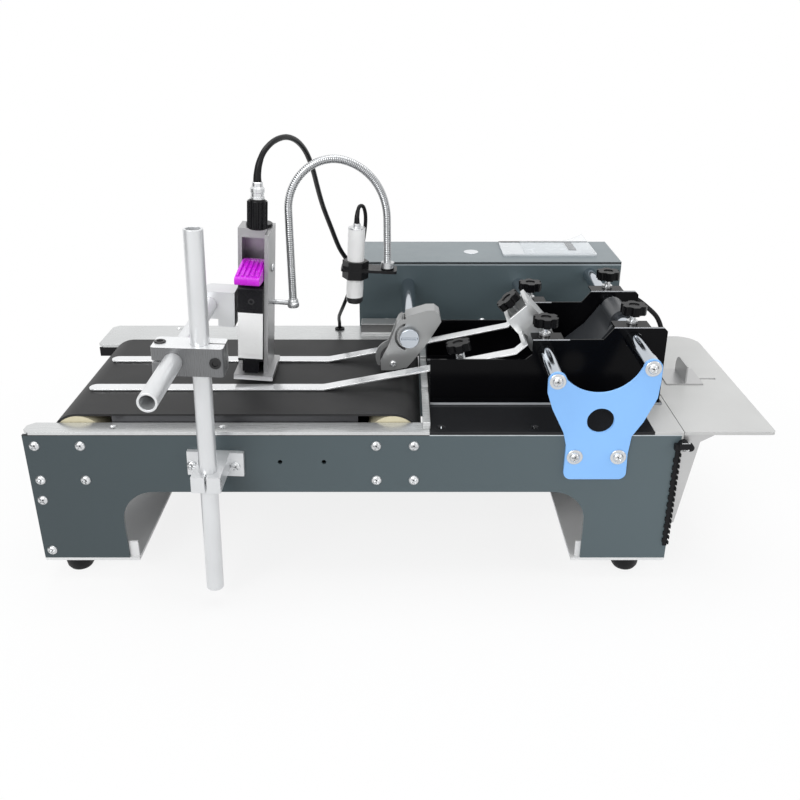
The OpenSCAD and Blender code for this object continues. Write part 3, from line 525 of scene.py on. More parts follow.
zinc = metal("zinc", (0.66, 0.67, 0.68), 0.28, metallic=0.85)
heads = [((x, 0, z), front) for x in (10, 52.6, 327.4, 362.6) for z in (112.5, 148.7)]
heads += [((8.4, 0, 90.6), front), ((8.4, 0, 34), front)]
heads += [((x, 292, z), back) for x in (10, 52.6) for z in (112.5, 148.7)]
heads += [((8.4, 292, 90.6), back), ((8.4, 292, 34), back)]
heads += [((512, -4, 138.8), front), ((552.4, -4, 138.8), front), ((491, -4, 215), front),
          ((575, -4, 227.5), front), ((156, -5, 130.8), front), ((196.3, -5, 129.6), front),
          ((332.8, 292, 168), front), ((449, 292, 168), front)]
screws = screw_tree.grow("round_screws", screw_points("round_screws", heads), zinc,
                         Head_Width=0.0099, Head_Height=0.0024, Recess=0.0064)
ride_as(screws, "frame", "frame_screws", "frame_screws")
flats = [((x, y, 162.5), skyward) for x in (82, 184, 388, 475) for y in (11, 281)]
flat_screws = screw_tree.grow("flat_screws", screw_points("flat_screws", flats), zinc,
                              Head_Width=0.0086, Head_Height=0.0006, Recess=0.0048)
ride_as(flat_screws, "frame", "frame_screws", "frame_screws")


def shaped(name, work, look):
    """The worked mesh as an object, smooth but for its sharp edges."""
    bmesh.ops.recalc_face_normals(work, faces=work.faces[:])
    for face in work.faces:
        face.smooth = True
    for edge in work.edges:
        edge.smooth = edge.calc_face_angle() < sharp
    mesh = bpy.data.meshes.new(name)
    work.to_mesh(mesh)
    work.free()
    piece = placed(name, mesh)
    look.dress(piece)
    return piece


def turned(name, profile, foot, axis, look, segments=40):
    """A lathe piece: profile is a list of radius and height in millimetres along axis."""
    axis = Vector(axis).normalized()
    side = axis.orthogonal().normalized()
    other = axis.cross(side)
    work = bmesh.new()
    angles = [2 * math.pi * k / segments for k in range(segments)]
    rings = []
    for radius, height in profile:
        centre = row(*foot) + axis * height / 1000
        rings.append([work.verts.new(centre + (side * math.cos(a) + other * math.sin(a))
                                     * radius / 1000) for a in angles])
    for low, high in zip(rings, rings[1:]):
        for k in range(segments):
            work.faces.new((low[k], low[(k + 1) % segments], high[(k + 1) % segments], high[k]))
    work.faces.new(rings[0][::-1])
    work.faces.new(rings[-1])
    return shaped(name, work, look)


def extruded(name, outline, low, high, place, look, width=0.0005):
    """A flat outline of points (b, c) drawn out from a = low to high, where place turns
    (a, b, c) into machine millimetres, with its edges broken."""
    work = bmesh.new()
    ends = [[work.verts.new(row(*place(a, b, c))) for b, c in outline] for a in (low, high)]
    work.faces.new(ends[0])
    work.faces.new(ends[1][::-1])
    for k in range(len(outline)):
        after = (k + 1) % len(outline)
        work.faces.new((ends[0][k], ends[1][k], ends[1][after], ends[0][after]))
    piece = shaped(name, work, look)
    break_edges(piece, width)
    return piece


def oblong(b0, b1, c0, c1):
    """The outline of a rectangle."""
    return [(b0, c0), (b1, c0), (b1, c1), (b0, c1)]


for k, (x, z) in enumerate(((491, 215), (575, 227.5), (512, 138.8), (552.4, 138.8))):
    washer = turned(f"bar_washer_{k + 1}", [(6.8, 0), (7.4, 0.3), (7.4, 0.8), (7.1, 1)],
                    (x, -3, z), (0, -1, 0), zinc)
    ride_as(washer, "frame", "frame_screws")


# Side rails and transition strip: bright folded steel sheet beside the belt, and where the belt
# meets the deck. Countersunk screws hold the rails on the side plates' flanges.
bright = metal("bright_sheet", (0.62, 0.63, 0.63), 0.28, (0.02, 1, 1), metallic=0.7)
dressed("side_rails", bright, 0.0003)
dressed("transition_strip", bright, 0.0004)

# Cross plates and slider bed: folded steel sheet. The cross plates are painted pale and tie the
# legs together, and the bed with its stays carries the belt. The bed's dark colour is painted
# shade for the gap beside the belt.
dressed("cross_plates", painted("leg_plate_paint", (0.78, 0.78, 0.78), 0.45))
# Painted shade: the bed is drawn dark for the shaded gap beside the belt.
dressed("slider_bed", metal("bed_steel", (0.05, 0.05, 0.053), 0.4))


# Bearing cover and shade sheet: a folded steel cover over the rear bearing, brushed, with a
# painted highlight on its top and a bright line along its foot, and a black sheet under the rear
# rail beside the belt whose black is painted shade.
def upright_place(y, x, z):
    """For an outline of x and z that is drawn out along y."""
    return x, y, z


cover_steel = metal("cover_steel", (0.16, 0.16, 0.16), 0.34, (0.02, 1, 1), metallic=0.6)
# Painted highlight: faces that look up are drawn lighter.
cover_steel.over(cover_steel.upward().between(0.5, 0.9), (0.36, 0.37, 0.37))
x, y, z = cover_steel.axes()
foot_line = z < 0.1652
cover_steel.over(foot_line, (0.75, 0.75, 0.75))
bearing_cover = extruded("bearing_cover", oblong(303, 368, 163, 175.5), 262, 284, upright_place,
                         cover_steel, 0.0008)
ride_as(bearing_cover, "frame", "side_rails")
# Painted shade: this black sheet stands in for the shade under the rear rail beside the belt.
rail_shade_sheet = extruded("rear_rail_shade_sheet", oblong(1.5, 376, 149, 159.9), 226.6, 228.2, upright_place,
                 painted("skirt_black", (0.012, 0.012, 0.013), 0.4, specular=0.15), 0.0003)
ride_as(rail_shade_sheet, "frame", "side_rails")

# Bearings: turned steel blocks, screwed inside the side plates, in which the rollers and the
# feed shaft run.
turned_bearing = metal("bearing_steel", (0.55, 0.55, 0.55), 0.34)
dressed("bearings", turned_bearing)


# Feet: moulded black rubber, wide at the top and narrow at the table. Each is screwed under one
# corner of the two cross plates.
def plastic(name, colour, rough=0.45, specular=0.15):
    """Moulded plastic or rubber with a fine spark-eroded texture."""
    look = Look(name, colour, rough, specular=specular)
    look.tint(look.noise(25, 2), shade(colour, 0.85), shade(colour, 1.15))
    look.put("Roughness", rough + (look.noise(120, 2) - 0.5) * 0.15)
    look.bump(look.noise(1600, 1), 0.00001, 0.5)
    return look


dressed("rubber_feet", plastic("foot_rubber", (0.012, 0.012, 0.013), 0.5), 0.001)


# Transport belt: black fabric-faced belt over a slider bed, with a cloth weave that is just seen
# and an oblique welded joint.
belt = Look("belt_fabric", (0.02, 0.02, 0.0205), 0.5, specular=0.22)
x, y, z = belt.axes()
weave, weld_width = 5200, 0.0008
belt.bump((x * weave).sin() * (y * weave).sin(), 0.00001, 0.3)
belt.tint(belt.noise(24, 3).between(0.3, 0.7), (0.017, 0.017, 0.0175), (0.024, 0.024, 0.0245))
along = x + y * 0.35 + 0.13
belt.over((along > 0) * (along < weld_width), (0.02, 0.02, 0.02))
dressed("transport_belt", belt)

# Rollers: cream plastic drums on turned steel axles. The one at the magazine is driven and the
# one at the left end runs idle.
cream = plastic("roller_cream", (0.66, 0.6, 0.42), 0.45, 0.4)
x, y, z = cream.axes()
front_face, rear_face = -0.1062, 0.0948
axle = (y < front_face).either(y > rear_face)
cream.over(axle, (0.6, 0.6, 0.6)).put("Metallic", axle)
dressed("drive_roller", cream, 0.0006)
dressed("idler_roller", cream, 0.0006)


# Deck: gloss-black painted steel sheet under the magazine, with slots through which the feed
# wheels reach the lowest sheet.
deck_gloss = painted("deck_gloss", (0.016, 0.0165, 0.018), 0.2, 0.000012, 0.2)
dressed("feeder_deck", deck_gloss, 0.0003)

# Feed wheels, drive belt, feed shaft and pulley: wheels and belt are soft black rubber, shaft
# and pulley are turned steel, all under the deck or in the control box.
wheel_rubber = plastic("wheel_rubber", (0.016, 0.016, 0.017), 0.6)
dressed("feed_wheels", wheel_rubber, 0.0006)
dressed("drive_belt", wheel_rubber)
dressed("feed_shaft", turned_bearing)
dressed("motor_pulley", turned_bearing)


# End cover, tray and its gussets: pale painted sheet. The tray hangs out over the right end on
# two folded gussets.
pale = painted("pale_paint", (0.56, 0.56, 0.55), 0.4)
dressed("end_cover", pale, 0.0004)
dressed("tray", pale)
gusset_steel = metal("gusset_steel", (0.55, 0.55, 0.55), 0.36, metallic=0.85)
dressed("tray_brackets", gusset_steel, 0.0003)

# Tray stop: a small folded steel angle that stands on the tray. A tongue below it slides in the
# tray's slot.
dressed("tray_stop", metal("stop_steel", (0.5, 0.5, 0.5), 0.36, metallic=0.8), 0.0004)

# Edge trim: black toothed rubber pressed over the right edge of the front plate, with a bright
# spring clip of two leaves at its top.
trim_rubber = plastic("trim_rubber", (0.01, 0.01, 0.011), 0.5)
dressed("edge_trim", trim_rubber)
tooth_tree = Grower("trim_teeth", [("Tooth_Depth", "Float"), ("Tooth_Height", "Float")])
given = tooth_tree.given
tooth_width = 0.0028
size = tooth_tree.make("ShaderNodeCombineXYZ", {0: given["Tooth_Depth"], 1: tooth_width,
                                                2: given["Tooth_Height"]})
tooth = tooth_tree.make("GeometryNodeMeshCube", {"Size": size})
tooth_tree.end(tooth_tree.make("GeometryNodeInstanceOnPoints",
                               {"Points": given["Geometry"], "Instance": tooth}))
teeth_mesh = bpy.data.meshes.new("trim_teeth")
teeth_mesh.from_pydata([row(610.6, -1.6, z) for z in range(44, 142, 6)], [], [])
teeth = tooth_tree.grow("trim_teeth", teeth_mesh, trim_rubber, Tooth_Depth=0.0012,
                        Tooth_Height=0.0032)
ride_as(teeth, "frame", "edge_trim")
for k, z in enumerate((146.2, 153.4)):
    leaf = extruded(f"clip_leaf_{k + 1}", oblong(609, 617, z, z + 1.6), -6, -4.6, upright_place,
                    zinc, 0.0003)
    ride_as(leaf, "frame", "edge_trim")


# Control box: folded steel tub and lid in slate powder coat, with a dark seam all round and a
# blank round badge of bright metal. The lid is drawn lighter than the tub as painted light from
# above, and a painted highlight runs along the tub's top rim under the seam.
box_paint = painted("box_paint", slate, 0.4)
x, y, z = box_paint.axes()
seam_black = (0.012, 0.014, 0.016)
rim_highlight_foot, seam_foot, seam_top, badge_foot = 0.2384, 0.2404, 0.2424, 0.24325
# Painted highlight: a lighter band along the tub's top rim, just under the dark seam.
box_paint.over(z > rim_highlight_foot, (0.3, 0.34, 0.36))
box_paint.over(z > seam_foot, seam_black)
dressed("box_body", box_paint, 0.0006)
# Painted light: the lid is the same slate coat, drawn lighter for the light from above.
lid_paint = painted("lid_paint", (0.2, 0.232, 0.247), 0.4)
x, y, z = lid_paint.axes()
lid_paint.over(z < seam_top, seam_black)
badge = z > badge_foot
lid_paint.over(badge, (0.75, 0.77, 0.79)).put("Metallic", badge * 0.8)
dressed("box_lid", lid_paint, 0.0005)

# Display panel: pale window in the lid with a dark edge, its thin cover film curling up at the
# right rear corner.
panel_look = plastic("panel_white", (0.62, 0.65, 0.67), 0.25, 0.5)
x, y, z = panel_look.axes()
dark_rear = y > 0.2462
dark_bar = (x > 0.2075) * (x < 0.2175) * (y > 0.2075)
panel_look.over(dark_rear.either(dark_bar), (0.035, 0.038, 0.042))
dressed("display_panel", panel_look, 0.0002)
film_mesh = bpy.data.meshes.new("cover_film")
work = bmesh.new()
columns, ranks = 24, 12
grid = []
for i in range(columns + 1):
    line = []
    for j in range(ranks + 1):
        x, y = 500 + 86 * i / columns, 318 + 61 * j / ranks
        lift = max(0, (x - 552) / 34) * max(0, (y - 336) / 43)
        line.append(work.verts.new(row(x - 9 * lift ** 2, y - 8 * lift ** 2,
                                       246.5 + 11 * lift ** 1.5)))
    grid.append(line)
for a, b in zip(grid, grid[1:]):
    for j in range(ranks):
        face = work.faces.new((a[j], b[j], b[j + 1], a[j + 1]))
        face.smooth = True
work.to_mesh(film_mesh)
work.free()
film = placed("cover_film", film_mesh)
film_look = Look("film_clear", (0.86, 0.9, 0.93), 0.12, specular=0.6, alpha=0.16)
film_look.tint(film_look.noise(40, 2), (0.8, 0.84, 0.87), (0.9, 0.94, 0.97))
film_look.bump(film_look.noise(60, 2), 0.0004, 0.4)
film_look.dress(film)
thick = film.modifiers.new("film", "SOLIDIFY")
thick.thickness = 0.0001
ride_as(film, "frame", "display_panel")

# Drive motor, control board and cable sockets, inside and behind the box: black moulded cases
# and a green board.
case_black = plastic("case_black", (0.015, 0.015, 0.016), 0.5)
dressed("drive_motor", case_black, 0.0006)
dressed("cable_sockets", case_black, 0.0004)
board = plastic("board_green", (0.02, 0.12, 0.05), 0.45)
x, y, z = board.axes()
board.over(z > 0.0445, (0.02, 0.02, 0.022))
dressed("control_board", board)


# Blue end plate: 3 mm steel in sky blue powder coat, screwed to the front plate, that carries
# the ends of the guide bars.
sky = painted("sky_blue_paint", (0.268, 0.53, 0.96), 0.42, specular=0.25)
dressed("bar_end_plate", sky, 0.0005)

# Guide bars and gate shaft: ground and chromed steel bars of 16 mm, fixed in the control box and
# at the front by the blue plate's screws. The shaft carries the gate.
chrome = metal("chrome", (0.52, 0.56, 0.61), 0.1, (1, 0.02, 1), 0.000001)
dressed("guide_bars", chrome, 0.0006)
dressed("gate_shaft", chrome, 0.001)

# Separator gate: two light sheet sides folded under one roof, with a guard disc and a black
# rubber wheel on a pin.
gate_alu = metal("gate_aluminium", (0.36, 0.365, 0.365), 0.36, (1, 1, 0.1), metallic=0.7)
dressed("gate_bracket", gate_alu, 0.0006)
dressed("separator_wheel", wheel_rubber, 0.0008)
pin = screw_tree.grow("gate_pin_screw", screw_points("gate_pin_screw",
                                                     [((342.3, 112, 185.6), front)]), zinc,
                      Head_Width=0.0074, Head_Height=0.002, Recess=0.0044)
ride_as(pin, "gate", "gate_bracket")


# Guide walls: two gloss-black folded walls of one pattern, with bright cut edges and thin painted
# highlights along the flanges' feet and the ears' tops, that slide on the bars to the width of
# the sheets.
wall_gloss = painted("wall_gloss", (0.003, 0.003, 0.0037), 0.16, 0.000012, 0.08)
x, y, z = wall_gloss.axes()
edge_highlight_grey = (0.45, 0.46, 0.48)
# Painted highlights: thin bright lines along the flanges' feet and the ears' top edges.
flange_line = (z < 0.1655) * (y < -0.0668).either((y > 0.0482) * (y < 0.0492))
left_line = (z > 0.2268) * (z < 0.2278) * (x < 0.165)
right_line = (z > 0.2392) * (x > 0.205)
near_face = (y < -0.0566).either((y > 0.0584) * (y < 0.0594))
wall_gloss.over(flange_line.either(left_line.either(right_line) * near_face), edge_highlight_grey)
cut_edge = metal("cut_edge", (0.5, 0.52, 0.54), 0.3, metallic=0.8)
dressed("front_guide", wall_gloss, 0.0003, cut_look=cut_edge)
dressed("rear_guide", wall_gloss, 0.0003, cut_look=cut_edge)


# Knobs: black moulded star knobs on bright threaded studs, with a nut under each. They clamp the
# guide walls, the strip block and the front strip.
def knob_look(name, top, axis, head):
    """Black from the head's underside up, and bright steel for the stud and nut below it."""
    look = plastic(name, (0.004, 0.004, 0.0047), 0.26, 0.1)
    x, y, z = look.axes()
    peak = row(*top)
    height = (x - peak.x) * axis[0] + (z - peak.z) * axis[2]
    stud = height < -head
    look.over(stud, (0.72, 0.73, 0.74)).put("Metallic", stud * 0.85)
    return look


low_knob = knob_look("left_knob_black", (491, 83, 246.6), (0, 0, 1), 0.0089)
high_knob = knob_look("right_knob_black", (575, 83, 259), (0, 0, 1), 0.0089)
for side in ("front", "rear"):
    dressed(f"{side}_left_knob", low_knob, 0.0011, segments=3)
    dressed(f"{side}_right_knob", high_knob, 0.0011, segments=3)
dressed("block_knob", knob_look("block_knob_black", (456.3, 120, 253.7), (-0.669, 0, 0.743),
                                0.0086), 0.0011, segments=3)
dressed("strip_knob", knob_look("strip_knob_black", (406.2, 81, 220.5), (-0.208, 0, 0.978),
                                0.0086), 0.0011, segments=3)

# Stack ramp: bent steel sheet in dark paint, on a split sleeve around the right guide bar. It
# props up the rear of the stack.
dressed("stack_ramp", painted("ramp_paint", (0.035, 0.038, 0.042), 0.34), 0.0005)

# Strip block: thick light plate, folded over the left bar, that holds both hold-down strips.
# The strips are bright spring steel, bent down onto the belt.
block_alu = metal("block_aluminium", (0.66, 0.67, 0.67), 0.34, (1, 1, 0.1), metallic=0.7)
dressed("strip_block", block_alu, 0.0008)


def block_place(y, u, w):
    """A point of the strip block's own slanted frame in machine millimetres."""
    slant = math.radians(-42)
    corner_x, corner_z = 455.4, 236
    return (corner_x + u * math.cos(slant) + w * math.sin(slant), y,
            corner_z - u * math.sin(slant) + w * math.cos(slant))


for name, near, far in (("block_front_wall", 100, 104), ("block_rear_wall", 136, 140)):
    wall = extruded(name, oblong(0.2, 28.4, -22.2, -0.3), near + 0.1, far - 0.1, block_place,
                    block_alu, 0.0008)
    ride_as(wall, "hold_down", "strip_block")
strip_steel = metal("strip_steel", (0.84, 0.85, 0.86), 0.22, (0.03, 1, 1), metallic=0.75)
dressed("front_strip", strip_steel, 0.0003)
dressed("rear_strip", strip_steel, 0.0003)


# Print stand: natural anodised aluminium. Base clamp, leaning post, two-way split clamp, cross
# tube and head clamp, each sawn and bored from bar or drawn tube.
def anodised(name, grain):
    """Drawn aluminium with a dull anodised skin."""
    return metal(name, (0.72, 0.73, 0.74), 0.3, grain, 0.000004, 0.5)


upright = anodised("post_aluminium", (1, 1, 0.03))
dressed("post_tube", upright, 0.0004)
for name in ("base_clamp", "head_clamp"):
    dressed(name, upright, 0.0009, segments=3)
# Painted light and shade: the cross clamp is dark grey on its sides for shade and near white on
# faces that look up as a painted highlight.
lit_and_shaded_clamp = metal("clamp_aluminium", (0.17, 0.173, 0.177), 0.28, (1, 1, 0.03), metallic=0.5)
lit_and_shaded_clamp.over(lit_and_shaded_clamp.upward().between(0.5, 0.9), (0.85, 0.86, 0.87))
dressed("cross_clamp", lit_and_shaded_clamp, 0.0009, segments=3)
bolt_black = plastic("bolt_black_oxide", (0.012, 0.012, 0.013), 0.3, 0.4)
for name, place, axis in (("clamp_top_bolt", (149.87, -39, 266.3), (0.035, 0, 0.999)),
                          ("clamp_front_bolt", (197.2, -51.9, 252.27), (0, -1, 0))):
    bolt = turned(name, [(4.6, 0), (4.9, 0.3), (4.9, 0.9), (4.5, 1.3), (2.7, 1.3), (2.4, 0.2)],
                  place, axis, bolt_black, 30)
    ride_as(bolt, "clamp", "cross_clamp")
dressed("cross_tube", anodised("arm_aluminium", (1, 0.03, 1)), 0.0005)


# Head housing: two milled aluminium cheeks with a roof, screwed on a foot plate with the print
# opening. It leans with the head about the cross tube.
housing = metal("housing_aluminium", (0.4, 0.4, 0.405), 0.34, (1, 1, 0.1), metallic=0.75)
dressed("head_housing", housing, 0.0008)

# Latch: violet moulded lever with lengthwise grip ribs, hinged on a steel pin above the
# cartridge, which it holds down.
violet = plastic("latch_violet", (0.62, 0.012, 0.72), 0.28, 0.5)
latch_outline = [(131.5, 285), (132, 288), (130.5, 292.5), (127, 295.4), (123, 296.2),
                 (110, 296.4), (71.5, 292.2), (69.6, 291.4), (69, 289.6), (69, 286.4),
                 (70, 284.8), (72, 284.2), (100, 281), (118, 281), (127, 280.6), (130, 282.4)]


lean = math.radians(4)


def head_place(x, y, z):
    """A point of the upright head, in machine millimetres, as the head has it that leans about
    the cross tube."""
    dx, dz = x - 162, z - 253.5
    return (162.03 + dx * math.cos(lean) + dz * math.sin(lean), y,
            253.499 - dx * math.sin(lean) + dz * math.cos(lean))


latch = extruded("latch_plate", latch_outline, 191.8, 215.6, head_place, violet, 0.0007)
ride_as(latch, "latch", "latch_lever", "latch_lever")
rib_outline = [(73, 291.6), (73, 293.8), (75, 294.6), (108, 298), (112, 297.6), (113, 295.6)]
rib_pitch, half_rib = 4.6, 1.1
for k in range(5):
    middle = 203.7 + rib_pitch * (k - 2)
    rib = extruded(f"latch_rib_{k + 1}", rib_outline, middle - half_rib, middle + half_rib,
                   head_place, violet, 0.0004)
    ride_as(rib, "latch", "latch_lever", "latch_lever")
cheek_axis = (math.cos(lean), 0, -math.sin(lean))
pin_head = turned("latch_pin_head", [(3.9, 0), (4.2, 0.4), (3.9, 1.3), (2.8, 2.1), (1.2, 2.5)],
                  head_place(220.2, 124, 288), cheek_axis, zinc)
ride_as(pin_head, "head", "head_housing")

# Ink cartridge: black moulded case with a round dimple and a blank white label on its front. It
# slides between the cheeks.
ink = plastic("cartridge_black", (0.007, 0.007, 0.009), 0.26, 0.2)
x, y, z = ink.axes()
level = z + (x + 0.1448) * 0.07
label = (y < -0.0362) * (level > 0.1995) * (level < 0.2475)
ink.over(label, (0.97, 0.97, 0.96))
dressed("ink_cartridge", ink, 0.0012)
dimple_black = plastic("dimple_black", (0.03, 0.03, 0.032), 0.4, 0.3)
dimple = turned("cartridge_dimple", [(2.9, 0), (3.1, 0.2), (2.9, 0.5), (1.8, 0.6), (1.6, 0.1)],
                head_place(204.5, 91.2, 262), (0, -1, 0), dimple_black)
ride_as(dimple, "cartridge", "ink_cartridge")


# Plug: black moulded grip with lengthwise flutes on the roof, under a bright cable gland. It
# leans with the head.
head_axis = (math.sin(lean), 0, math.cos(lean))
plug_look = plastic("plug_black", (0.006, 0.006, 0.007), 0.28, 0.2)
plug_foot = turned("plug_foot", [(12.6, 327), (13, 327.4), (13, 329.6), (12.6, 330)],
                   head_place(206, 134, 0), head_axis, plug_look)
ride_as(plug_foot, "head", "head_connector", "head_connector")
grip = turned("plug_grip", [(8.4, 327.2), (8.6, 327.6), (8.6, 353.5), (8, 355), (7, 356)],
              head_place(206, 120, 0), head_axis, plug_look)
ride_as(grip, "head", "head_connector", "head_connector")
flute_tree = Grower("plug_flutes", [("Flutes", "Int"), ("Grip_Radius", "Float"),
                                    ("Flute_Radius", "Float"), ("Flute_Length", "Float")])
given = flute_tree.given
ring = flute_tree.make("GeometryNodeMeshCircle", {"Vertices": given["Flutes"],
                                                  "Radius": given["Grip_Radius"]})
rib = flute_tree.make("GeometryNodeMeshCylinder", {"Vertices": 10,
                                                   "Radius": given["Flute_Radius"],
                                                   "Depth": given["Flute_Length"]})
ribs = flute_tree.make("GeometryNodeInstanceOnPoints", {"Points": ring, "Instance": rib})
flute_tree.end(ribs)
flutes = flute_tree.grow("plug_flutes", bpy.data.meshes.new("plug_flutes"), plug_look,
                         Flutes=11, Grip_Radius=0.0084, Flute_Radius=0.0016,
                         Flute_Length=0.026)
middle = row(*head_place(206, 120, 341))
tilt = Vector((0, 0, 1)).rotation_difference(Vector(head_axis)).to_matrix().to_4x4()
tilt.translation = middle
flutes.data.transform(tilt)
ride_as(flutes, "head", "head_connector")
gland_steel = metal("gland_steel", (0.7, 0.71, 0.72), 0.25, metallic=0.85)
gland = turned("plug_gland", [(6.6, 355.8), (7, 356.2), (7, 358), (6.3, 358.4), (6.3, 362),
                              (6.9, 362.5), (6.9, 366), (5.4, 368), (5.2, 371.5), (4.5, 372.2)],
               head_place(206, 120, 0), head_axis, gland_steel)
ride_as(gland, "head", "head_connector")


# Gooseneck: ribbed steel hose on a turned ferrule and a plain rod from the right cheek, bent up,
# over and down to the sensor bracket.
def arc(middle, radius, angles):
    """Points of a circle, each as reach from the foot and height."""
    return [(middle[0] + radius * math.cos(math.radians(a)),
             middle[1] + radius * math.sin(math.radians(a))) for a in angles]


neck_foot = Vector((240, 136))
swing = math.radians(26)
neck_way = Vector((math.cos(swing), math.sin(swing)))
rise_top, rise_bend = 338, 46
far_middle, far_bend = (40.82, 318.68), 66
path = [(0, z) for z in range(246, rise_top, 4)]
path += arc((rise_bend, rise_top), rise_bend, range(180, 75, -5))
path += arc(far_middle, far_bend, range(75, 0, -5))
path += [(far_middle[0] + far_bend, z)
         for z in (far_middle[1], 312, 306, 300, 294, 288, 282, 276, 270, 265.6)]
neck_mesh = bpy.data.meshes.new("gooseneck_hose")
neck_mesh.from_pydata([row(*(neck_foot + neck_way * u), z) for u, z in path],
                      [(k, k + 1) for k in range(len(path) - 1)], [])
hose_tree = Grower("ribbed_hose", [("Hose_Radius", "Float"), ("Rib_Depth", "Float"),
                                   ("Rib_Pitch", "Float")])
given = hose_tree.given
line = hose_tree.make("GeometryNodeMeshToCurve", {0: given["Geometry"]})
steps_a_rib = 6
line = hose_tree.make("GeometryNodeResampleCurve",
                      {0: line, "Length": given["Rib_Pitch"] / steps_a_rib}, mode="LENGTH")
run = hose_tree.make("GeometryNodeSplineParameter", output="Length")
wave = (run / given["Rib_Pitch"] * (2 * math.pi)).sin()
swell = 1 + wave * (given["Rib_Depth"] / given["Hose_Radius"])
profile = hose_tree.make("GeometryNodeCurvePrimitiveCircle", {"Resolution": 20,
                                                              "Radius": given["Hose_Radius"]})
hose = hose_tree.make("GeometryNodeCurveToMesh", {0: line, 1: profile, "Scale": swell,
                                                  "Fill Caps": True})
hose_tree.end(hose_tree.make("GeometryNodeSetShadeSmooth", {0: hose}))
hose_steel = metal("hose_steel", (0.46, 0.47, 0.48), 0.22)
gooseneck = hose_tree.grow("gooseneck_hose", neck_mesh, hose_steel, Hose_Radius=0.0039,
                           Rib_Depth=0.00026, Rib_Pitch=0.002)
ride_as(gooseneck, "head", "gooseneck", "gooseneck")
rod = turned("gooseneck_rod", [(2.3, 0), (2.5, 0.3), (2.5, 16.5), (2.3, 17)],
             head_place(219.6, 136, 248.5), cheek_axis, hose_steel)
ride_as(rod, "head", "gooseneck", "gooseneck")
ferrule = turned("gooseneck_ferrule", [(3.5, 238.6), (5.4, 239), (6, 240.2), (6, 243.5),
                                       (5.3, 244.2), (5.3, 246.2), (4.6, 247.5), (3.6, 248)],
                 (240, 136, 0), (0, 0, 1), gland_steel)
ride_as(ferrule, "head", "gooseneck", "gooseneck")


# Photo sensor: 18 mm threaded white case with a black lens end and a bright gland, held by two
# black nuts on a black plate at the end of the gooseneck.
bracket_look = plastic("bracket_black", (0.006, 0.006, 0.007), 0.3, 0.2)
x, y, z = bracket_look.axes()
neck_x, neck_y, collar_foot = -0.0125, 0.0553, 0.2672
apart = (x - neck_x) * (x - neck_x) + (y - neck_y) * (y - neck_y)
collar = (apart < 0.000054) * (z > collar_foot)
bracket_look.over(collar, (0.6, 0.61, 0.62)).put("Metallic", collar * 0.85)
dressed("sensor_bracket", bracket_look, 0.0007)
sensor_look = plastic("sensor_white", (0.92, 0.92, 0.91), 0.35, 0.4)
x, y, z = sensor_look.axes()
thread_pitch, lens_top, gland_foot = 0.0012, 0.2348, 0.3085
thread = (z * (2 * math.pi / thread_pitch)).sin()
sensor_look.bump(thread, 0.00003, 0.3)
sensor_look.over(z < lens_top, (0.015, 0.015, 0.016))
gland_part = z > gland_foot
sensor_look.over(gland_part, (0.7, 0.71, 0.72)).put("Metallic", gland_part * 0.85)
dressed("photo_sensor", sensor_look, 0.0004)


# Floor: a white sweep that the camera and shiny metal see as nearly plain white, with the
# machine's own soft shadow on it.
def looked_at(tree):
    """1 where the camera, a shiny or a clear surface looks, 0 for the light that is given."""
    rays = tree.node("ShaderNodeLightPath")
    seen = Wire(tree, rays.outputs["Is Camera Ray"])
    for way in ("Is Glossy Ray", "Is Transmission Ray"):
        seen = seen.either(Wire(tree, rays.outputs[way]))
    return seen


floor_mesh = bpy.data.meshes.new("floor")
floor_mesh.from_pydata([(-4, -4, 0), (4, -4, 0), (4, 6, 0), (-4, 6, 0)], [], [(0, 1, 2, 3)])
floor = placed("floor", floor_mesh)
floor_look = Look("floor_white", (0.86, 0.86, 0.86), 0.9, specular=0.1)
x, y, z = floor_look.axes()
away = (x * x + y * y * 1.6).root().between(0.25, 0.75)
white = floor_look.node("ShaderNodeEmission", {"Color": (1, 1, 1, 1), "Strength": 1.0})
mixed = floor_look.node("ShaderNodeMixShader", {
    0: looked_at(floor_look) * (0.84 + away * 0.16),
    1: Wire(floor_look, floor_look.shader.outputs[0]),
    2: Wire(floor_look, white.outputs[0])})
floor_look.tree.links.new(mixed.outputs[0], floor_look.tree.nodes["Material Output"].inputs[0])
floor_look.dress(floor)

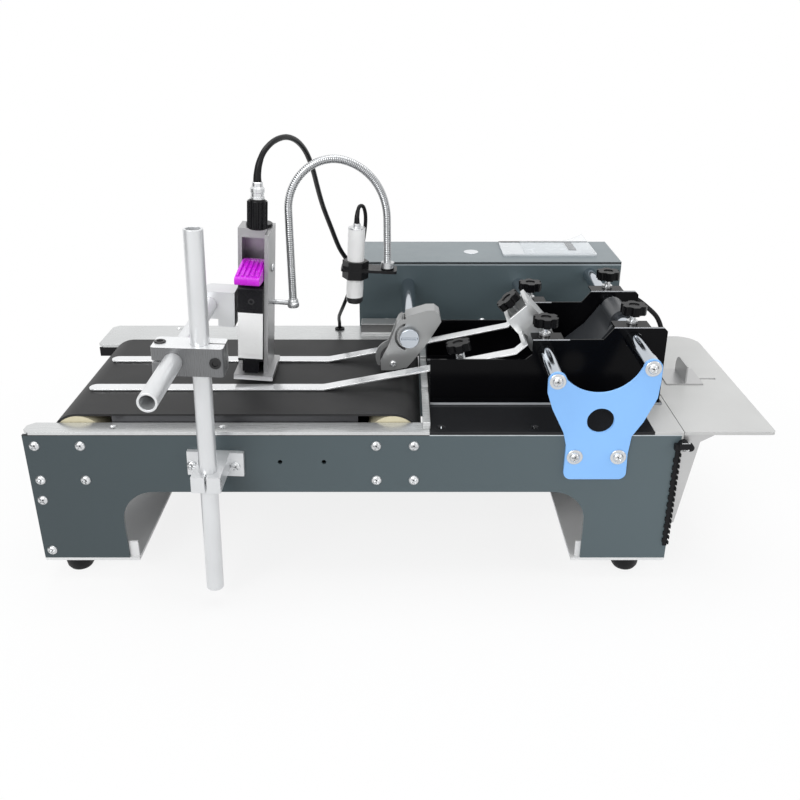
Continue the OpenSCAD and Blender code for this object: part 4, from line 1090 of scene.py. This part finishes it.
# Sky: an even, faintly blue light all round, which the camera and shiny metal see as plain
# white.
world = bpy.data.worlds.new("studio")
world.use_nodes = True
bpy.context.scene.world = world
sky_tree = Tree(world.node_tree)
dim = sky_tree.node("ShaderNodeBackground", {"Color": (0.96, 0.98, 1, 1), "Strength": 0.45})
clear = sky_tree.node("ShaderNodeBackground", {"Color": (1, 1, 1, 1), "Strength": 1.0})
mixed = sky_tree.node("ShaderNodeMixShader", {
    0: looked_at(sky_tree),
    1: Wire(sky_tree, dim.outputs[0]),
    2: Wire(sky_tree, clear.outputs[0])})
sky_tree.tree.links.new(mixed.outputs[0], world.node_tree.nodes["World Output"].inputs[0])

# Studio flags: two black cloths at the sides, which only reflections see. They draw the dark
# stripes on tubes and bars.
flag_look = Look("flag_black", (0.02, 0.02, 0.02), 0.8, specular=0.1)
flag_look.tint(flag_look.noise(2, 1), (0.018, 0.018, 0.018), (0.022, 0.022, 0.022))
for name, x in (("left_flag", -1.3), ("right_flag", 1.5)):
    flag_mesh = bpy.data.meshes.new(name)
    flag_mesh.from_pydata([(x, -0.75, 0.02), (x, 0.25, 0.02), (x, 0.25, 1.3), (x, -0.75, 1.3)],
                          [], [(0, 1, 2, 3)])
    flag = placed(name, flag_mesh)
    flag_look.dress(flag)
    flag.visible_camera = False
    flag.visible_diffuse = False
    flag.visible_shadow = False


# Studio lamps: one soft box above and two more at the front left and the right, all aimed
# at the machine.
def lamp(name, place, target, size, watts):
    """A square soft box at a place, aimed at a target."""
    light = bpy.data.lights.new(name, "AREA")
    light.shape = "RECTANGLE"
    light.size, light.size_y = size
    light.energy = watts
    item = placed(name, light)
    item.location = place
    item.rotation_euler = (Vector(target) - Vector(place)).to_track_quat("-Z", "Y").to_euler()


lamp("top_light", (0, 0.1, 1.8), (0, 0.1, 0), (1.6, 1.2), 17)
lamp("front_light", (-0.8, -1.6, 1.1), (0, 0, 0.15), (1.0, 0.8), 16)
lamp("right_light", (1.6, -0.7, 0.9), (0, 0, 0.15), (0.8, 0.8), 6)

bpy.context.scene.view_settings.view_transform = "Standard"
